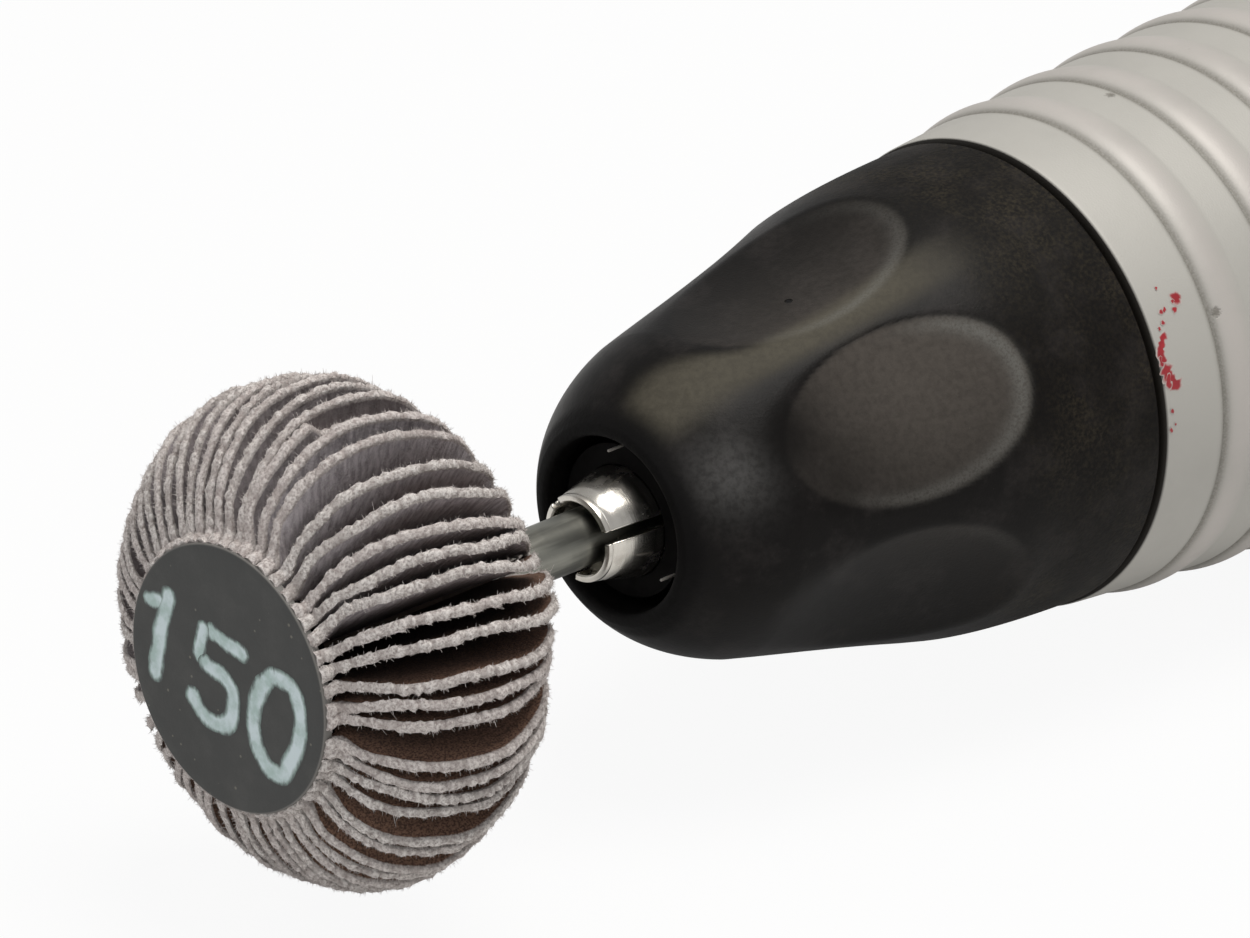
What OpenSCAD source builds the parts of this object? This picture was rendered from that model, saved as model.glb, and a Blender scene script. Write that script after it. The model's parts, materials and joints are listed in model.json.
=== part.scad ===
// Rotary tool handpiece with a twist-release collet and a flap wheel.
// The spindle axis is X. The flap wheel is at the -X end. The socket for the flexible
// drive shaft is at the +X end, and its round wall starts at the origin. +Z is up.

/* [Flap wheel] */
// Radius over the abrasive flaps
wheel_r = 13.25; // [11:0.25:15]
// Length of the flap pack along the shank
wheel_w = 15.1; // [12:0.1:18]
// Number of flaps
flap_count = 56; // [30:1:60]
// Thickness of one flap
flap_t = 0.42; // [0.3:0.02:0.44]
// Radius of the cast core that holds the flaps
core_r = 4.6; // [4.4:0.1:5.5]
// Radius of the round front label
label_r = 7; // [6.2:0.1:8]
// Thickness of the front label
label_t = 0.5; // [0.3:0.1:0.8]
// Distance from the front of the label to the mouth of the grip
tool_reach = 26.2; // [24:0.2:32]

/* [Mandrel] */
// Radius of the steel shank
shank_r = 1.5; // [1.2:0.05:1.6]
// Length of shank inside the collet
shank_hold = 16.4; // [12:0.1:16.4]

/* [Collet] */
// Largest radius of the collet head
collet_r = 2.95; // [2.8:0.05:3.1]
// Radius of the flat front rim of the collet
collet_rim_r = 2.35; // [2.2:0.05:2.5]
// Radius of the collet body behind its taper
collet_body_r = 2.2; // [2.1:0.05:2.3]
// How far the collet stands out of the grip's mouth
collet_reach = 2.2; // [1.5:0.1:3]
// Length of the collet
collet_len = 20; // [20:0.5:21]
// Number of saw slots in the collet
collet_slots = 3; // [2:1:4]
// Width of a saw slot
collet_slot_w = 0.55; // [0.3:0.05:0.7]

/* [Grip] */
// Length of the black grip
nose_len = 27.5; // [26.5:0.1:30]
// Radius of the grip at its rear edge
nose_r = 12.65; // [12.2:0.05:13.2]
// Radius where the cone of the grip starts, behind its rounded shoulder
nose_shoulder_r = 8.7; // [8.5:0.1:9.2]
// Radius of the hole in the grip's mouth
mouth_r = 4.7; // [4.5:0.1:5]
// Number of finger scallops
scallop_count = 6; // [3:1:6]
// Depth of a finger scallop
scallop_depth = 1.05; // [0.5:0.05:1.2]
// Radius of the shallow bowl that forms a scallop
scallop_bowl_r = 28; // [20:1:34]
// Angle that the grip turns to open the collet
twist = 45; // [30:1:50]

/* [Sleeve] */
// Length of the aluminium sleeve that shows
sleeve_len = 76; // [70:1:95]
// Radius of the sleeve at its front edge
sleeve_front_r = 12.8; // [12.6:0.1:13.4]
// Radius of the sleeve at its widest place, under the ribs
belly_r = 14.5; // [13.8:0.1:15]
// Distance from the front edge to the widest place
belly_at = 40; // [36:1:48]
// Number of ribs
rib_count = 11; // [4:1:11]
// Distance from one rib to the next
rib_pitch = 5; // [4:0.1:5]
// Width of a rib
rib_w = 2.5; // [1.5:0.1:3]
// Height of a rib
rib_h = 0.28; // [0.1:0.02:0.4]
// Depth of the crease in front of a rib
crease_d = 0.12; // [0.05:0.01:0.3]
// Distance from the front edge to the first crease
first_crease = 4.1; // [3:0.1:6]
// Radius of the plain band for a clamp, at the rear of the sleeve
band_r = 13.2; // [12.4:0.1:13.4]
// Length of the plain band
band_len = 12; // [8:0.5:14]
// Radius of the neck that the grip turns on
neck_r = 7.8; // [7.6:0.05:7.9]
// Length of the neck
neck_len = 17.5; // [17.3:0.1:18]
// Gap between the grip and the sleeve
ring_gap = 0.3; // [0.2:0.05:0.5]

/* [End cap] */
// Length from the sleeve to the start of the socket wall
cap_len = 30; // [28:0.5:36]
// Size of the hexagon, across its flats
hex_af = 31; // [29.8:0.1:33]
// Length of the hexagon
hex_len = 9; // [6:0.5:10]
// Radius of the boss at its root
boss_r = 11.4; // [9:0.1:12]
// Radius of the boss at its rear face
boss_end_r = 9.4; // [8:0.1:10]
// Radius of the socket for the flexible shaft's tip
socket_r = 4; // [3.5:0.05:4.5]
// Depth of the socket
socket_len = 20; // [16:0.5:20.5]
// Distance from the socket's mouth to the snap groove
snap_at = 8; // [5:0.5:12]
// Length of the end cap's spigot inside the sleeve
spigot_len = 15; // [14:0.5:18]

/* [Bearings] */
// Bore radius of both bearings
brg_in_r = 3.5; // [3.45:0.05:3.5]
// Outer radius of both bearings
brg_out_r = 7; // [6.95:0.05:7]
// Width of both bearings
brg_w = 5; // [4.6:0.1:5]
// Radius of a bearing ball
ball_r = 1; // [0.9:0.05:1]
// Number of balls in a bearing
ball_count = 8; // [6:1:9]

/* [Spindle] */
// Radius of the spindle's head
head_r = 4.1; // [3.9:0.05:4.3]
// How far the spindle's head sits inside the grip's mouth
head_recess = 1.1; // [0.6:0.1:2]
// Radius of the spindle's hollow barrel
barrel_r = 5; // [4.8:0.05:5.2]
// Bore radius of the barrel
barrel_bore_r = 3.6; // [3.5:0.05:3.7]
// Radius of the draw rod
rod_r = 1.9; // [1.6:0.05:1.95]
// Wire radius of the collet spring
wire_r = 0.45; // [0.3:0.05:0.5]
// Number of turns of the collet spring
spring_turns = 12; // [6:1:14]
// Length of the collet spring
spring_len = 32.9; // [24:0.1:36]
// Width of the drive slot at the rear of the spindle
drive_slot_w = 2.6; // [2:0.1:3]
// Depth of the drive slot
drive_slot_len = 6; // [4:0.5:8]

/* [Release] */
// How far the collet slides forward when it opens
draw_travel = 1.2; // [0.8:0.05:1.3]
// Gap between the thrust collar and the release ring while the spindle runs
release_gap = 0.5; // [0.4:0.05:0.6]
// Radius of a cam pin
cam_pin_r = 1; // [0.8:0.05:1]
// Number of cam pins
cam_pin_count = 3; // [2:1:3]

/* [Clearances] */
// Radial clearance of a part that turns or slides in another
run_clear = 0.06; // [0.03:0.01:0.08]
// Radial clearance of a part that is pressed or screwed into another
seat_clear = 0.02; // [0.01:0.005:0.03]
// Clearance between faces of parts that move past each other
face_clear = 0.1; // [0.05:0.01:0.15]

/* [Hidden] */
$fn = 96;

black = [0.13, 0.125, 0.12];
aluminium = [0.74, 0.73, 0.71];
steel = [0.62, 0.62, 0.63];
dark_steel = [0.32, 0.32, 0.33];
chrome = [0.82, 0.82, 0.84];
brass = [0.78, 0.62, 0.3];
cloth = [0.6, 0.57, 0.57];
resin = [0.45, 0.36, 0.3];
label_grey = [0.25, 0.26, 0.26];

// Main stations along X, from the socket forwards
lead_in = 0.6;
seal_t = 1.2;
hex_set = 4;
x_cap = -cap_len;
x_hex = x_cap + seal_t + hex_set;
x_ring = x_cap - sleeve_len;
x_nose = x_ring - ring_gap;
x_mouth = x_nose - nose_len;
x_neck = x_ring - neck_len;
x_head = x_mouth + head_recess;
x_collet = x_mouth - collet_reach;
x_label = x_mouth - tool_reach;

// Bearings: the front one is in the neck, the rear one is in the end cap's spigot
neck_lip = 1;
rear_brg_set = 1;
x_fb = x_neck + neck_lip;
x_rb = x_cap - spigot_len + rear_brg_set;
pitch_r = (brg_in_r + brg_out_r) / 2;
race_gap = 0.7;
race_clear = 0.05;
shield_t = 0.25;
cage_half_w = ball_r + 0.4;
cage_half_t = 0.4;

// Retaining clips
clip_t = 0.8;
clip_gap = 0.1;
clip_depth = 0.4;

// Release mechanism: the thrust collar fills the space between the clip and the release ring
collar_play = 0.6;
collar_r = 5.2;
collar_bore_r = brg_in_r + run_clear;
release_len = 3.6;
release_bore_r = 4.2;
release_travel = draw_travel + release_gap - face_clear;
release_pin_r = 0.75;
barrel_gap = 1.2;
x_clip = x_fb + brg_w + clip_gap;
x_collar = x_clip + clip_t + collar_play + draw_travel;
x_release = x_ring - barrel_gap - release_len;
collar_len = x_release - release_gap - x_collar;
x_release_pin = x_collar + collar_len / 2;
x_cam_pin = x_release + release_len / 2;

// Cam sleeve, pressed into the grip
cam_wall = 1.2;
cam_slot_r = cam_pin_r + 0.2;
cam_step_angle = 7.5;
cam_steps = ceil(twist / cam_step_angle);
cam_out_r = 10;
x_cam = x_cam_pin - release_travel - cam_slot_r - cam_wall;
cam_pin_in = 5.9;
cam_pin_out = 9.7;
pin_angle = 30;

// Grip clip, between the neck and the grip
grip_clip_t = 1;
grip_clip_set = 0.6;
grip_clip_out = 0.6;
x_grip_clip = x_cam - grip_clip_set - grip_clip_t;

// Inside of the grip
neck_lip_h = 1;
neck_bore_r = brg_out_r + seat_clear;
neck_lip_r = brg_out_r - neck_lip_h;
nose_bore_r = neck_r + run_clear;
seal_h = 2.1;
seal_pocket_r = head_r + seal_h;
seal_w = 2;
seal_set = 0.5;
seal_gap = 1.5;
x_seal = x_neck - seal_set - seal_w - seal_gap;

// Outline of the grip: a rounded shoulder, a cone and a rounded rear end
rim_w = 0.45;
rim_r = mouth_r + rim_w;
shoulder_len = 5.3;
shoulder_bulge = 2.45;
shoulder_run = 1.85;
cone_slope = 0.234;
cone_end_len = 18.3;
rear_rise = 0.3;
rear_round = 0.2;
rear_run = 3;
cone_end_r = min(nose_shoulder_r + (cone_end_len - shoulder_len) * cone_slope, nose_r - rear_rise);
scallop_at = 12.7;

// Collet and spindle nose
collet_round = 1.3;
collet_mouth_w = 0.45;
collet_mouth_r = shank_r + collet_mouth_w;
collet_mouth_len = 0.9;
collet_mouth_cone = 0.5;
collet_taper = 5;
collet_slot_end = 5;
slot_angle = 72.5;
x_collet_end = x_collet + collet_len;
x_taper_end = x_head + collet_taper;
spindle_bore_r = collet_body_r + run_clear;
thread_r = 3.2;
thread_len = 7;
x_barrel = x_release + release_len + barrel_gap;
x_thread_end = x_barrel + thread_len;

// Draw rod, its nut and the spring
rod_tip_len = 3;
rod_tip_set = 0.1;
rod_tip_r = shank_r - rod_tip_set;
rod_thick_len = 7;
rod_over = 0.5;
nut_len = 6;
nut_clear = 0.3;
nut_r = barrel_bore_r - nut_clear;
spring_gap = 0.05;
spring_shift = 0.2;
x_spring = x_thread_end + spring_gap;
x_spring_end = x_spring + spring_len;
x_draw_nut = x_spring_end + spring_gap;
x_rod_end = x_draw_nut + nut_len + rod_over;
spring_r = (rod_r + nut_r) / 2 + spring_shift;
spring_sides = 6;
spring_steps = 8;

// Rear of the spindle
stub_plug_len = 9;
spindle_nut_len = 3;
spindle_nut_r = 4.9;
stub_r = 3;
stub_gap = 1;
x_stub_end = -socket_len - stub_gap;
preload_t = 0.5;
x_preload = x_rb + brg_w;
preload_ledge = 0.8;
cavity_r = brg_out_r - preload_ledge;
sleeve_bore_r = 9.45;
bore_step = 4;

// Flaps
flap_power = 2.3;
flap_points = 16;
flap_start = -61.6;
flap_end = 72.7;
flap_min_h = 0.2;
flange_t = 0.7;
flange_set = 0.4;
flange_r = label_r - flange_set;
flange_gap = 0.1;
label_gap = 0.15;
core_gap = 0.05;
core_end = 0.9;
crown_shift = 0.1;
x_wheel = x_label + wheel_w / 2 - crown_shift;

// Turns an outline of [radius, x] points about the X axis.
module turned(points) {
    rotate([0, 90, 0])
        rotate_extrude()
            polygon(points);
}

// A plain ring about the X axis, from x0 to x1.
module ring(r_in, r_out, x0, x1) {
    turned([[r_in, x0], [r_out, x0], [r_out, x1], [r_in, x1]]);
}

// A round bar along a radius, at an angle from +Z about the X axis.
module spoke(x, angle, r, r0, r1) {
    rotate([angle, 0, 0])
        translate([x, 0, r0])
            cylinder(r = r, h = r1 - r0, $fn = 32);
}

// A point of a curve with one control point.
function bend(a, b, c, t) = (1 - t) * (1 - t) * a + 2 * t * (1 - t) * b + t * t * c;

// ---- Flap wheel ----

module label_disc() {
    edge = 0.15;
    color(label_grey)
        turned([[0, x_label], [label_r - edge, x_label], [label_r, x_label + edge],
            [label_r, x_label + label_t], [0, x_label + label_t]]);
}

module front_flange() {
    color(dark_steel)
        ring(shank_r + seat_clear, flange_r, x_label + label_t, x_label + label_t + flange_t);
}

module wheel_core() {
    color(resin)
        ring(shank_r + seat_clear, core_r, x_label + label_t + flange_t, x_label + wheel_w - core_end);
}

module rear_washer() {
    washer_t = 0.7;
    color(steel)
        ring(shank_r + seat_clear, core_r, x_label + wheel_w - core_end, x_label + wheel_w - core_end + washer_t);
}

// Outer edge of a flap, at the share u of its half length.
function flap_edge(u) = wheel_r * pow(1 - pow(abs(u), flap_power), 1 / flap_power);

module flap_outline() {
    x0 = x_label + label_t + flange_t + flange_gap;
    r0 = core_r + core_gap;
    rim = [for (i = [0:flap_points])
        let (u = sin(flap_start + (flap_end - flap_start) * i / flap_points))
        [x_wheel + u * wheel_w / 2, max(flap_edge(u), r0 + flap_min_h)]];
    polygon(concat([[x0, r0], [x0, label_r + flange_gap], [x_label + label_t, label_r + label_gap]], rim,
        [[x_label + wheel_w - core_end, r0]]));
}

module flap_pack() {
    color(cloth)
        for (i = [0:flap_count - 1])
            rotate([i * 360 / flap_count, 0, 0])
                rotate([90, 0, 0])
                    linear_extrude(flap_t, center = true)
                        flap_outline();
}

module mandrel() {
    chamfer = 0.3;
    x0 = x_label + label_t + 0.05;
    x1 = x_collet + shank_hold;
    color(steel)
        turned([[0, x0], [shank_r, x0], [shank_r, x1 - chamfer], [shank_r - chamfer, x1], [0, x1]]);
}

// ---- Collet and draw bar ----

module collet() {
    round_points = 5;
    head = [for (i = [0:round_points])
        let (a = 90 * i / round_points)
        [collet_rim_r + (collet_r - collet_rim_r) * sin(a), x_collet + collet_round * (1 - cos(a))]];
    color(chrome)
        difference() {
            turned(concat([[shank_r + seat_clear, x_collet + collet_mouth_len + collet_mouth_cone],
                [collet_mouth_r, x_collet + collet_mouth_len], [collet_mouth_r, x_collet]], head,
                [[collet_r, x_head], [collet_body_r, x_taper_end],
                [collet_body_r, x_collet_end], [shank_r + seat_clear, x_collet_end]]));
            for (i = [0:collet_slots - 1])
                rotate([slot_angle + i * 360 / collet_slots, 0, 0])
                    translate([x_collet - 1, -collet_slot_w / 2, 0])
                        cube([collet_len - collet_slot_end + 1, collet_slot_w, collet_r + 1]);
        }
}

module draw_rod() {
    x0 = x_collet_end - rod_tip_len;
    x1 = x_collet_end + rod_thick_len;
    color(steel)
        difference() {
            turned([[0, x0], [rod_tip_r, x0], [rod_tip_r, x_collet_end], [collet_body_r, x_collet_end],
                [collet_body_r, x1], [rod_r, x1], [rod_r, x_rod_end], [0, x_rod_end]]);
            spoke(x_release_pin, 0, release_pin_r + seat_clear, -barrel_r, barrel_r);
        }
}

module draw_nut() {
    color(brass)
        ring(rod_r + seat_clear, nut_r, x_draw_nut, x_draw_nut + nut_len);
}

module release_pin() {
    end_set = 0.2;
    color(steel)
        spoke(x_release_pin, 0, release_pin_r, end_set - collar_r, collar_r - end_set);
}

module thrust_collar() {
    color(dark_steel)
        difference() {
            ring(collar_bore_r, collar_r, x_collar, x_collar + collar_len);
            spoke(x_release_pin, 0, release_pin_r + seat_clear, -collar_r - 1, collar_r + 1);
        }
}

// One unbroken wire that winds along X.
module coil(x0, x1, r, wire, turns) {
    rings = turns * spring_steps;
    points = [for (i = [0:rings], j = [0:spring_sides - 1])
        let (a = 360 * i / spring_steps, b = 360 * j / spring_sides,
            x = x0 + wire + (x1 - x0 - 2 * wire) * i / rings, q = r + wire * cos(b))
        [x + wire * sin(b), q * cos(a), q * sin(a)]];
    sides = [for (i = [0:rings - 1], j = [0:spring_sides - 1])
        let (k = (j + 1) % spring_sides, m = i * spring_sides, n = m + spring_sides)
        each [[m + j, n + j, n + k], [m + j, n + k, m + k]]];
    last = rings * spring_sides;
    ends = [[for (j = [0:spring_sides - 1]) j], [for (j = [spring_sides - 1:-1:0]) last + j]];
    polyhedron(points, concat(sides, ends));
}

module collet_spring() {
    echo(coil_gap = (spring_len - 2 * wire_r) / spring_turns - 2 * wire_r);
    color(steel)
        coil(x_spring, x_spring_end, spring_r, wire_r, spring_turns);
}

// ---- Spindle ----

module spindle_nose() {
    seat_r = brg_in_r - seat_clear;
    mouth = collet_r + run_clear;
    slot_w = 2 * (release_pin_r + run_clear);
    slot_x0 = x_release_pin - draw_travel - release_pin_r - face_clear;
    slot_x1 = x_release_pin + release_pin_r + face_clear;
    color(dark_steel)
        difference() {
            turned([[mouth, x_head], [head_r, x_head], [head_r, x_fb], [seat_r, x_fb], [seat_r, x_barrel],
                [thread_r, x_barrel], [thread_r, x_thread_end], [spindle_bore_r, x_thread_end],
                [spindle_bore_r, x_taper_end]]);
            ring(brg_in_r - clip_depth, brg_in_r + 1, x_clip, x_clip + clip_t);
            translate([slot_x0, -slot_w / 2, -barrel_r])
                cube([slot_x1 - slot_x0, slot_w, 2 * barrel_r]);
        }
}

module spindle_clip() {
    color(steel)
        ring(brg_in_r - clip_depth, brg_in_r + 1, x_clip, x_clip + clip_t);
}

module spindle_barrel() {
    color(steel)
        turned([[thread_r + seat_clear, x_barrel], [barrel_r, x_barrel], [barrel_r, x_rb],
            [barrel_bore_r, x_rb], [barrel_bore_r, x_thread_end], [thread_r + seat_clear, x_thread_end]]);
}

module drive_stub() {
    plug_r = barrel_bore_r - seat_clear;
    seat_r = brg_in_r - seat_clear;
    x_shoulder = x_rb + brg_w + spindle_nut_len;
    color(steel)
        difference() {
            turned([[0, x_rb - stub_plug_len], [plug_r, x_rb - stub_plug_len], [plug_r, x_rb], [seat_r, x_rb],
                [seat_r, x_shoulder], [stub_r, x_shoulder], [stub_r, x_stub_end], [0, x_stub_end]]);
            translate([x_stub_end - drive_slot_len, -drive_slot_w / 2, -barrel_r])
                cube([drive_slot_len + 1, drive_slot_w, 2 * barrel_r]);
        }
}

module spindle_nut() {
    flats = 6;
    color(dark_steel)
        difference() {
            translate([x_rb + brg_w, 0, 0])
                rotate([0, 90, 0])
                    cylinder(r = spindle_nut_r, h = spindle_nut_len, $fn = flats);
            ring(0, brg_in_r, x_rb + brg_w - 1, x_rb + brg_w + spindle_nut_len + 1);
        }
}

// ---- Bearings ----

// Ball groove for a bearing whose front face is at x.
module ball_groove(x) {
    translate([x + brg_w / 2, 0, 0])
        rotate([0, 90, 0])
            rotate_extrude()
                translate([pitch_r, 0])
                    circle(r = ball_r + race_clear, $fn = 32);
}

module inner_ring(x) {
    difference() {
        ring(brg_in_r, pitch_r - race_gap, x, x + brg_w);
        ball_groove(x);
    }
}

module outer_ring(x) {
    difference() {
        ring(pitch_r + race_gap, brg_out_r, x, x + brg_w);
        ball_groove(x);
    }
}

module balls(x) {
    for (i = [0:ball_count - 1])
        rotate([i * 360 / ball_count, 0, 0])
            translate([x + brg_w / 2, 0, pitch_r])
                sphere(r = ball_r, $fn = 32);
}

module cage(x) {
    x_mid = x + brg_w / 2;
    difference() {
        ring(pitch_r - cage_half_t, pitch_r + cage_half_t, x_mid - cage_half_w, x_mid + cage_half_w);
        for (i = [0:ball_count - 1])
            rotate([i * 360 / ball_count, 0, 0])
                translate([x_mid, 0, pitch_r])
                    sphere(r = ball_r + race_clear, $fn = 32);
    }
}

module front_inner_ring() {
    color(steel) inner_ring(x_fb);
}

module rear_inner_ring() {
    color(steel) inner_ring(x_rb);
}

module front_outer_ring() {
    color(steel) outer_ring(x_fb);
}

module rear_outer_ring() {
    color(steel) outer_ring(x_rb);
}

module front_balls() {
    color(chrome) balls(x_fb);
}

module rear_balls() {
    color(chrome) balls(x_rb);
}

module front_cage() {
    color(brass) cage(x_fb);
}

module rear_cage() {
    color(brass) cage(x_rb);
}

module bearing_shields() {
    r0 = pitch_r - race_gap + face_clear;
    r1 = pitch_r + race_gap - seat_clear;
    color(dark_steel)
        for (x = [x_fb, x_fb + brg_w - shield_t, x_rb, x_rb + brg_w - shield_t])
            ring(r0, r1, x, x + shield_t);
}

module bearing_clip() {
    clip_h = 1.2;
    color(steel)
        ring(brg_out_r - clip_h, neck_bore_r + clip_depth - seat_clear, x_clip, x_clip + clip_t);
}

module preload_washer() {
    color(steel)
        ring(cavity_r + face_clear, brg_out_r - face_clear, x_preload, x_preload + preload_t);
}

// ---- Release mechanism ----

module release_ring() {
    color(brass)
        difference() {
            ring(release_bore_r, neck_bore_r - run_clear, x_release, x_release + release_len);
            for (i = [0:cam_pin_count - 1])
                spoke(x_cam_pin, pin_angle + i * 360 / cam_pin_count, cam_pin_r + seat_clear,
                    cam_pin_in - seat_clear, neck_bore_r + 1);
        }
}

module cam_pins() {
    color(steel)
        for (i = [0:cam_pin_count - 1])
            spoke(x_cam_pin, pin_angle + i * 360 / cam_pin_count, cam_pin_r, cam_pin_in, cam_pin_out);
}

// Path that the pins take through the cam sleeve while the grip turns.
module cam_paths() {
    for (i = [0:cam_pin_count - 1], k = [0:cam_steps])
        spoke(x_cam_pin - release_travel * k / cam_steps,
            pin_angle + i * 360 / cam_pin_count - twist * k / cam_steps,
            cam_slot_r, nose_bore_r - 1, cam_out_r + 1);
}

module cam_sleeve() {
    color(brass)
        difference() {
            ring(nose_bore_r, cam_out_r, x_cam, x_nose - face_clear);
            cam_paths();
        }
}

// ---- Grip ----

// Outer radius of the grip's cone at a distance from its mouth.
function cone_r(t) = nose_shoulder_r + (t - shoulder_len) * cone_slope;

module nose_outline() {
    n = 6;
    t_end = cone_end_len;
    shoulder = [for (i = [0:n])
        [bend(rim_r, rim_r + shoulder_bulge, nose_shoulder_r, i / n),
            x_mouth + bend(0, shoulder_run, shoulder_len, i / n)]];
    rear = [for (i = [0:n])
        [bend(cone_end_r, nose_r - rear_round, nose_r, i / n),
            x_mouth + bend(t_end, t_end + rear_run, nose_len, i / n)]];
    polygon(concat([[0, x_mouth], [rim_r, x_mouth]], shoulder, rear, [[0, x_nose]]));
}

module nose_grip() {
    tilt = atan(cone_slope);
    bowl = scallop_bowl_r - scallop_depth;
    color(black)
        difference() {
            rotate([0, 90, 0])
                rotate_extrude()
                    nose_outline();
            for (i = [0:scallop_count - 1])
                rotate([i * 360 / scallop_count, 0, 0])
                    translate([x_mouth + scallop_at - bowl * sin(tilt), 0, cone_r(scallop_at) + bowl * cos(tilt)])
                        sphere(r = scallop_bowl_r);
            turned([[0, x_mouth - 1], [mouth_r, x_mouth - 1], [mouth_r, x_seal], [seal_pocket_r, x_seal],
                [seal_pocket_r, x_neck - seal_set], [nose_bore_r, x_neck - seal_set],
                [nose_bore_r, x_cam], [cam_out_r + seat_clear, x_cam],
                [cam_out_r + seat_clear, x_nose + 1], [0, x_nose + 1]]);
            ring(0, neck_r + grip_clip_out + face_clear, x_grip_clip - face_clear,
                x_grip_clip + grip_clip_t + face_clear);
        }
}

module nose_seal() {
    color(black)
        ring(head_r + face_clear, seal_pocket_r - seat_clear, x_seal, x_seal + seal_w);
}

module grip_clip() {
    color(steel)
        ring(neck_r - clip_depth + seat_clear, neck_r + grip_clip_out, x_grip_clip, x_grip_clip + grip_clip_t);
}

// ---- Sleeve ----

// Radius of the sleeve at a distance from its front edge, without the ribs.
function base_r(t) = belly_r - (belly_r - sleeve_front_r) * pow((t - belly_at) / belly_at, 2);

// Height of a rib at the share u of its width: it rises steeply and falls slowly.
function rib_rise(u) = rib_h * sin(180 * pow(u, 0.7)) - crease_d * pow(1 - u, 4);

module ribbed_sleeve() {
    n = 8;
    edge = 0.25;
    crease_run = 0.2;
    rib_foot = 0.1;
    band_step = 1.5;
    t_band = sleeve_len - band_len;
    t_ribs = first_crease + rib_count * rib_pitch;
    ribs = [for (k = [0:rib_count - 1])
        let (t0 = first_crease + k * rib_pitch)
        each concat([[base_r(t0 - crease_run), x_ring + t0 - crease_run]],
            [for (i = [0:n])
                let (t = t0 + rib_w * i / n)
                [base_r(t) + rib_rise(i / n), x_ring + t]],
            [[base_r(t0 + rib_w + rib_foot), x_ring + t0 + rib_w + rib_foot]])];
    tail = [for (t = [t_ribs:1:t_band - band_step]) [base_r(t), x_ring + t]];
    slot_w = 2 * (cam_pin_r + run_clear);
    slot_x0 = x_cam_pin - release_travel - cam_pin_r - face_clear;
    slot_x1 = x_cam_pin + cam_pin_r + face_clear;
    color(aluminium)
        difference() {
            turned(concat([[0, x_neck], [neck_r, x_neck], [neck_r, x_ring], [sleeve_front_r - edge, x_ring],
                [sleeve_front_r, x_ring + edge]], ribs, tail,
                [[band_r, x_cap - band_len], [band_r, x_cap - edge], [band_r - edge, x_cap], [0, x_cap]]));
            turned([[0, x_neck - 1], [neck_lip_r, x_neck - 1], [neck_lip_r, x_fb], [neck_bore_r, x_fb],
                [neck_bore_r, x_ring + bore_step], [sleeve_bore_r, x_ring + bore_step],
                [sleeve_bore_r, x_cap + 1], [0, x_cap + 1]]);
            ring(0, neck_bore_r + clip_depth, x_clip, x_clip + clip_t);
            for (i = [0:cam_pin_count - 1])
                rotate([pin_angle + i * 360 / cam_pin_count, 0, 0])
                    translate([slot_x0, -slot_w / 2, 0])
                        cube([slot_x1 - slot_x0, slot_w, neck_r + 1]);
            difference() {
                ring(0, neck_r + 1, x_grip_clip, x_grip_clip + grip_clip_t);
                ring(0, neck_r - clip_depth, x_grip_clip - 1, x_grip_clip + grip_clip_t + 1);
            }
        }
}

// ---- End cap ----

module hexagon() {
    chamfer = 0.8;
    corner_cut = 0.6;
    flat_down = 30;
    corner_r = hex_af / 2 / cos(30) - corner_cut;
    x1 = x_hex + hex_len;
    intersection() {
        translate([x_hex, 0, 0])
            rotate([flat_down, 0, 0])
                rotate([0, 90, 0])
                    cylinder(d = hex_af / cos(30), h = hex_len, $fn = 6);
        turned([[0, x_hex], [corner_r - chamfer, x_hex], [corner_r, x_hex + chamfer],
            [corner_r, x1 - chamfer], [corner_r - chamfer, x1], [0, x1]]);
    }
}

module end_cap() {
    collar_set = 0.3;
    spigot_r = sleeve_bore_r - seat_clear;
    collar = band_r - collar_set;
    x_front = x_cap - spigot_len;
    pocket_r = brg_out_r + seat_clear;
    round_edge = 1;
    groove_w = 0.8;
    color(black)
        difference() {
            union() {
                turned([[0, x_front], [spigot_r, x_front], [spigot_r, x_cap + seal_t], [collar, x_cap + seal_t],
                    [collar, x_hex], [boss_r, x_hex + hex_len], [boss_end_r, lead_in - round_edge],
                    [boss_end_r - round_edge, lead_in], [0, lead_in]]);
                hexagon();
            }
            turned([[0, x_front - 1], [pocket_r, x_front - 1], [pocket_r, x_preload + preload_t],
                [cavity_r, x_preload + preload_t], [cavity_r, -socket_len], [socket_r, -socket_len],
                [socket_r, 0], [socket_r + lead_in, lead_in], [socket_r + lead_in, lead_in + 1],
                [0, lead_in + 1]]);
            translate([-snap_at, 0, 0])
                rotate([0, 90, 0])
                    rotate_extrude()
                        translate([socket_r, 0])
                            circle(r = groove_w, $fn = 24);
        }
}

module end_cap_seal() {
    seal_edge = 0.45;
    color(black)
        ring(sleeve_bore_r, band_r - seal_edge, x_cap, x_cap + seal_t);
}

label_disc();
front_flange();
flap_pack();
wheel_core();
rear_washer();
mandrel();
collet();
draw_rod();
draw_nut();
release_pin();
thrust_collar();
collet_spring();
spindle_nose();
spindle_barrel();
drive_stub();
spindle_nut();
spindle_clip();
front_inner_ring();
rear_inner_ring();
front_balls();
front_cage();
rear_balls();
rear_cage();
front_outer_ring();
rear_outer_ring();
bearing_shields();
bearing_clip();
preload_washer();
release_ring();
cam_pins();
nose_grip();
cam_sleeve();
nose_seal();
grip_clip();
ribbed_sleeve();
end_cap();
end_cap_seal();
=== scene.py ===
"""Looks of a rotary tool handpiece that holds a flap wheel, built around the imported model.

The tool lies along X, with the flap wheel at the -X end and the socket for the flexible
shaft at the +X end. Sizes are millimetres until a piece is finished. An angle goes round
the X axis from +Z towards -Y, in degrees.
"""

from __future__ import annotations

import json
import logging
import math
from dataclasses import dataclass, field
from enum import Enum
from functools import lru_cache
from typing import Any, Callable, Iterable, Mapping, Sequence

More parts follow.
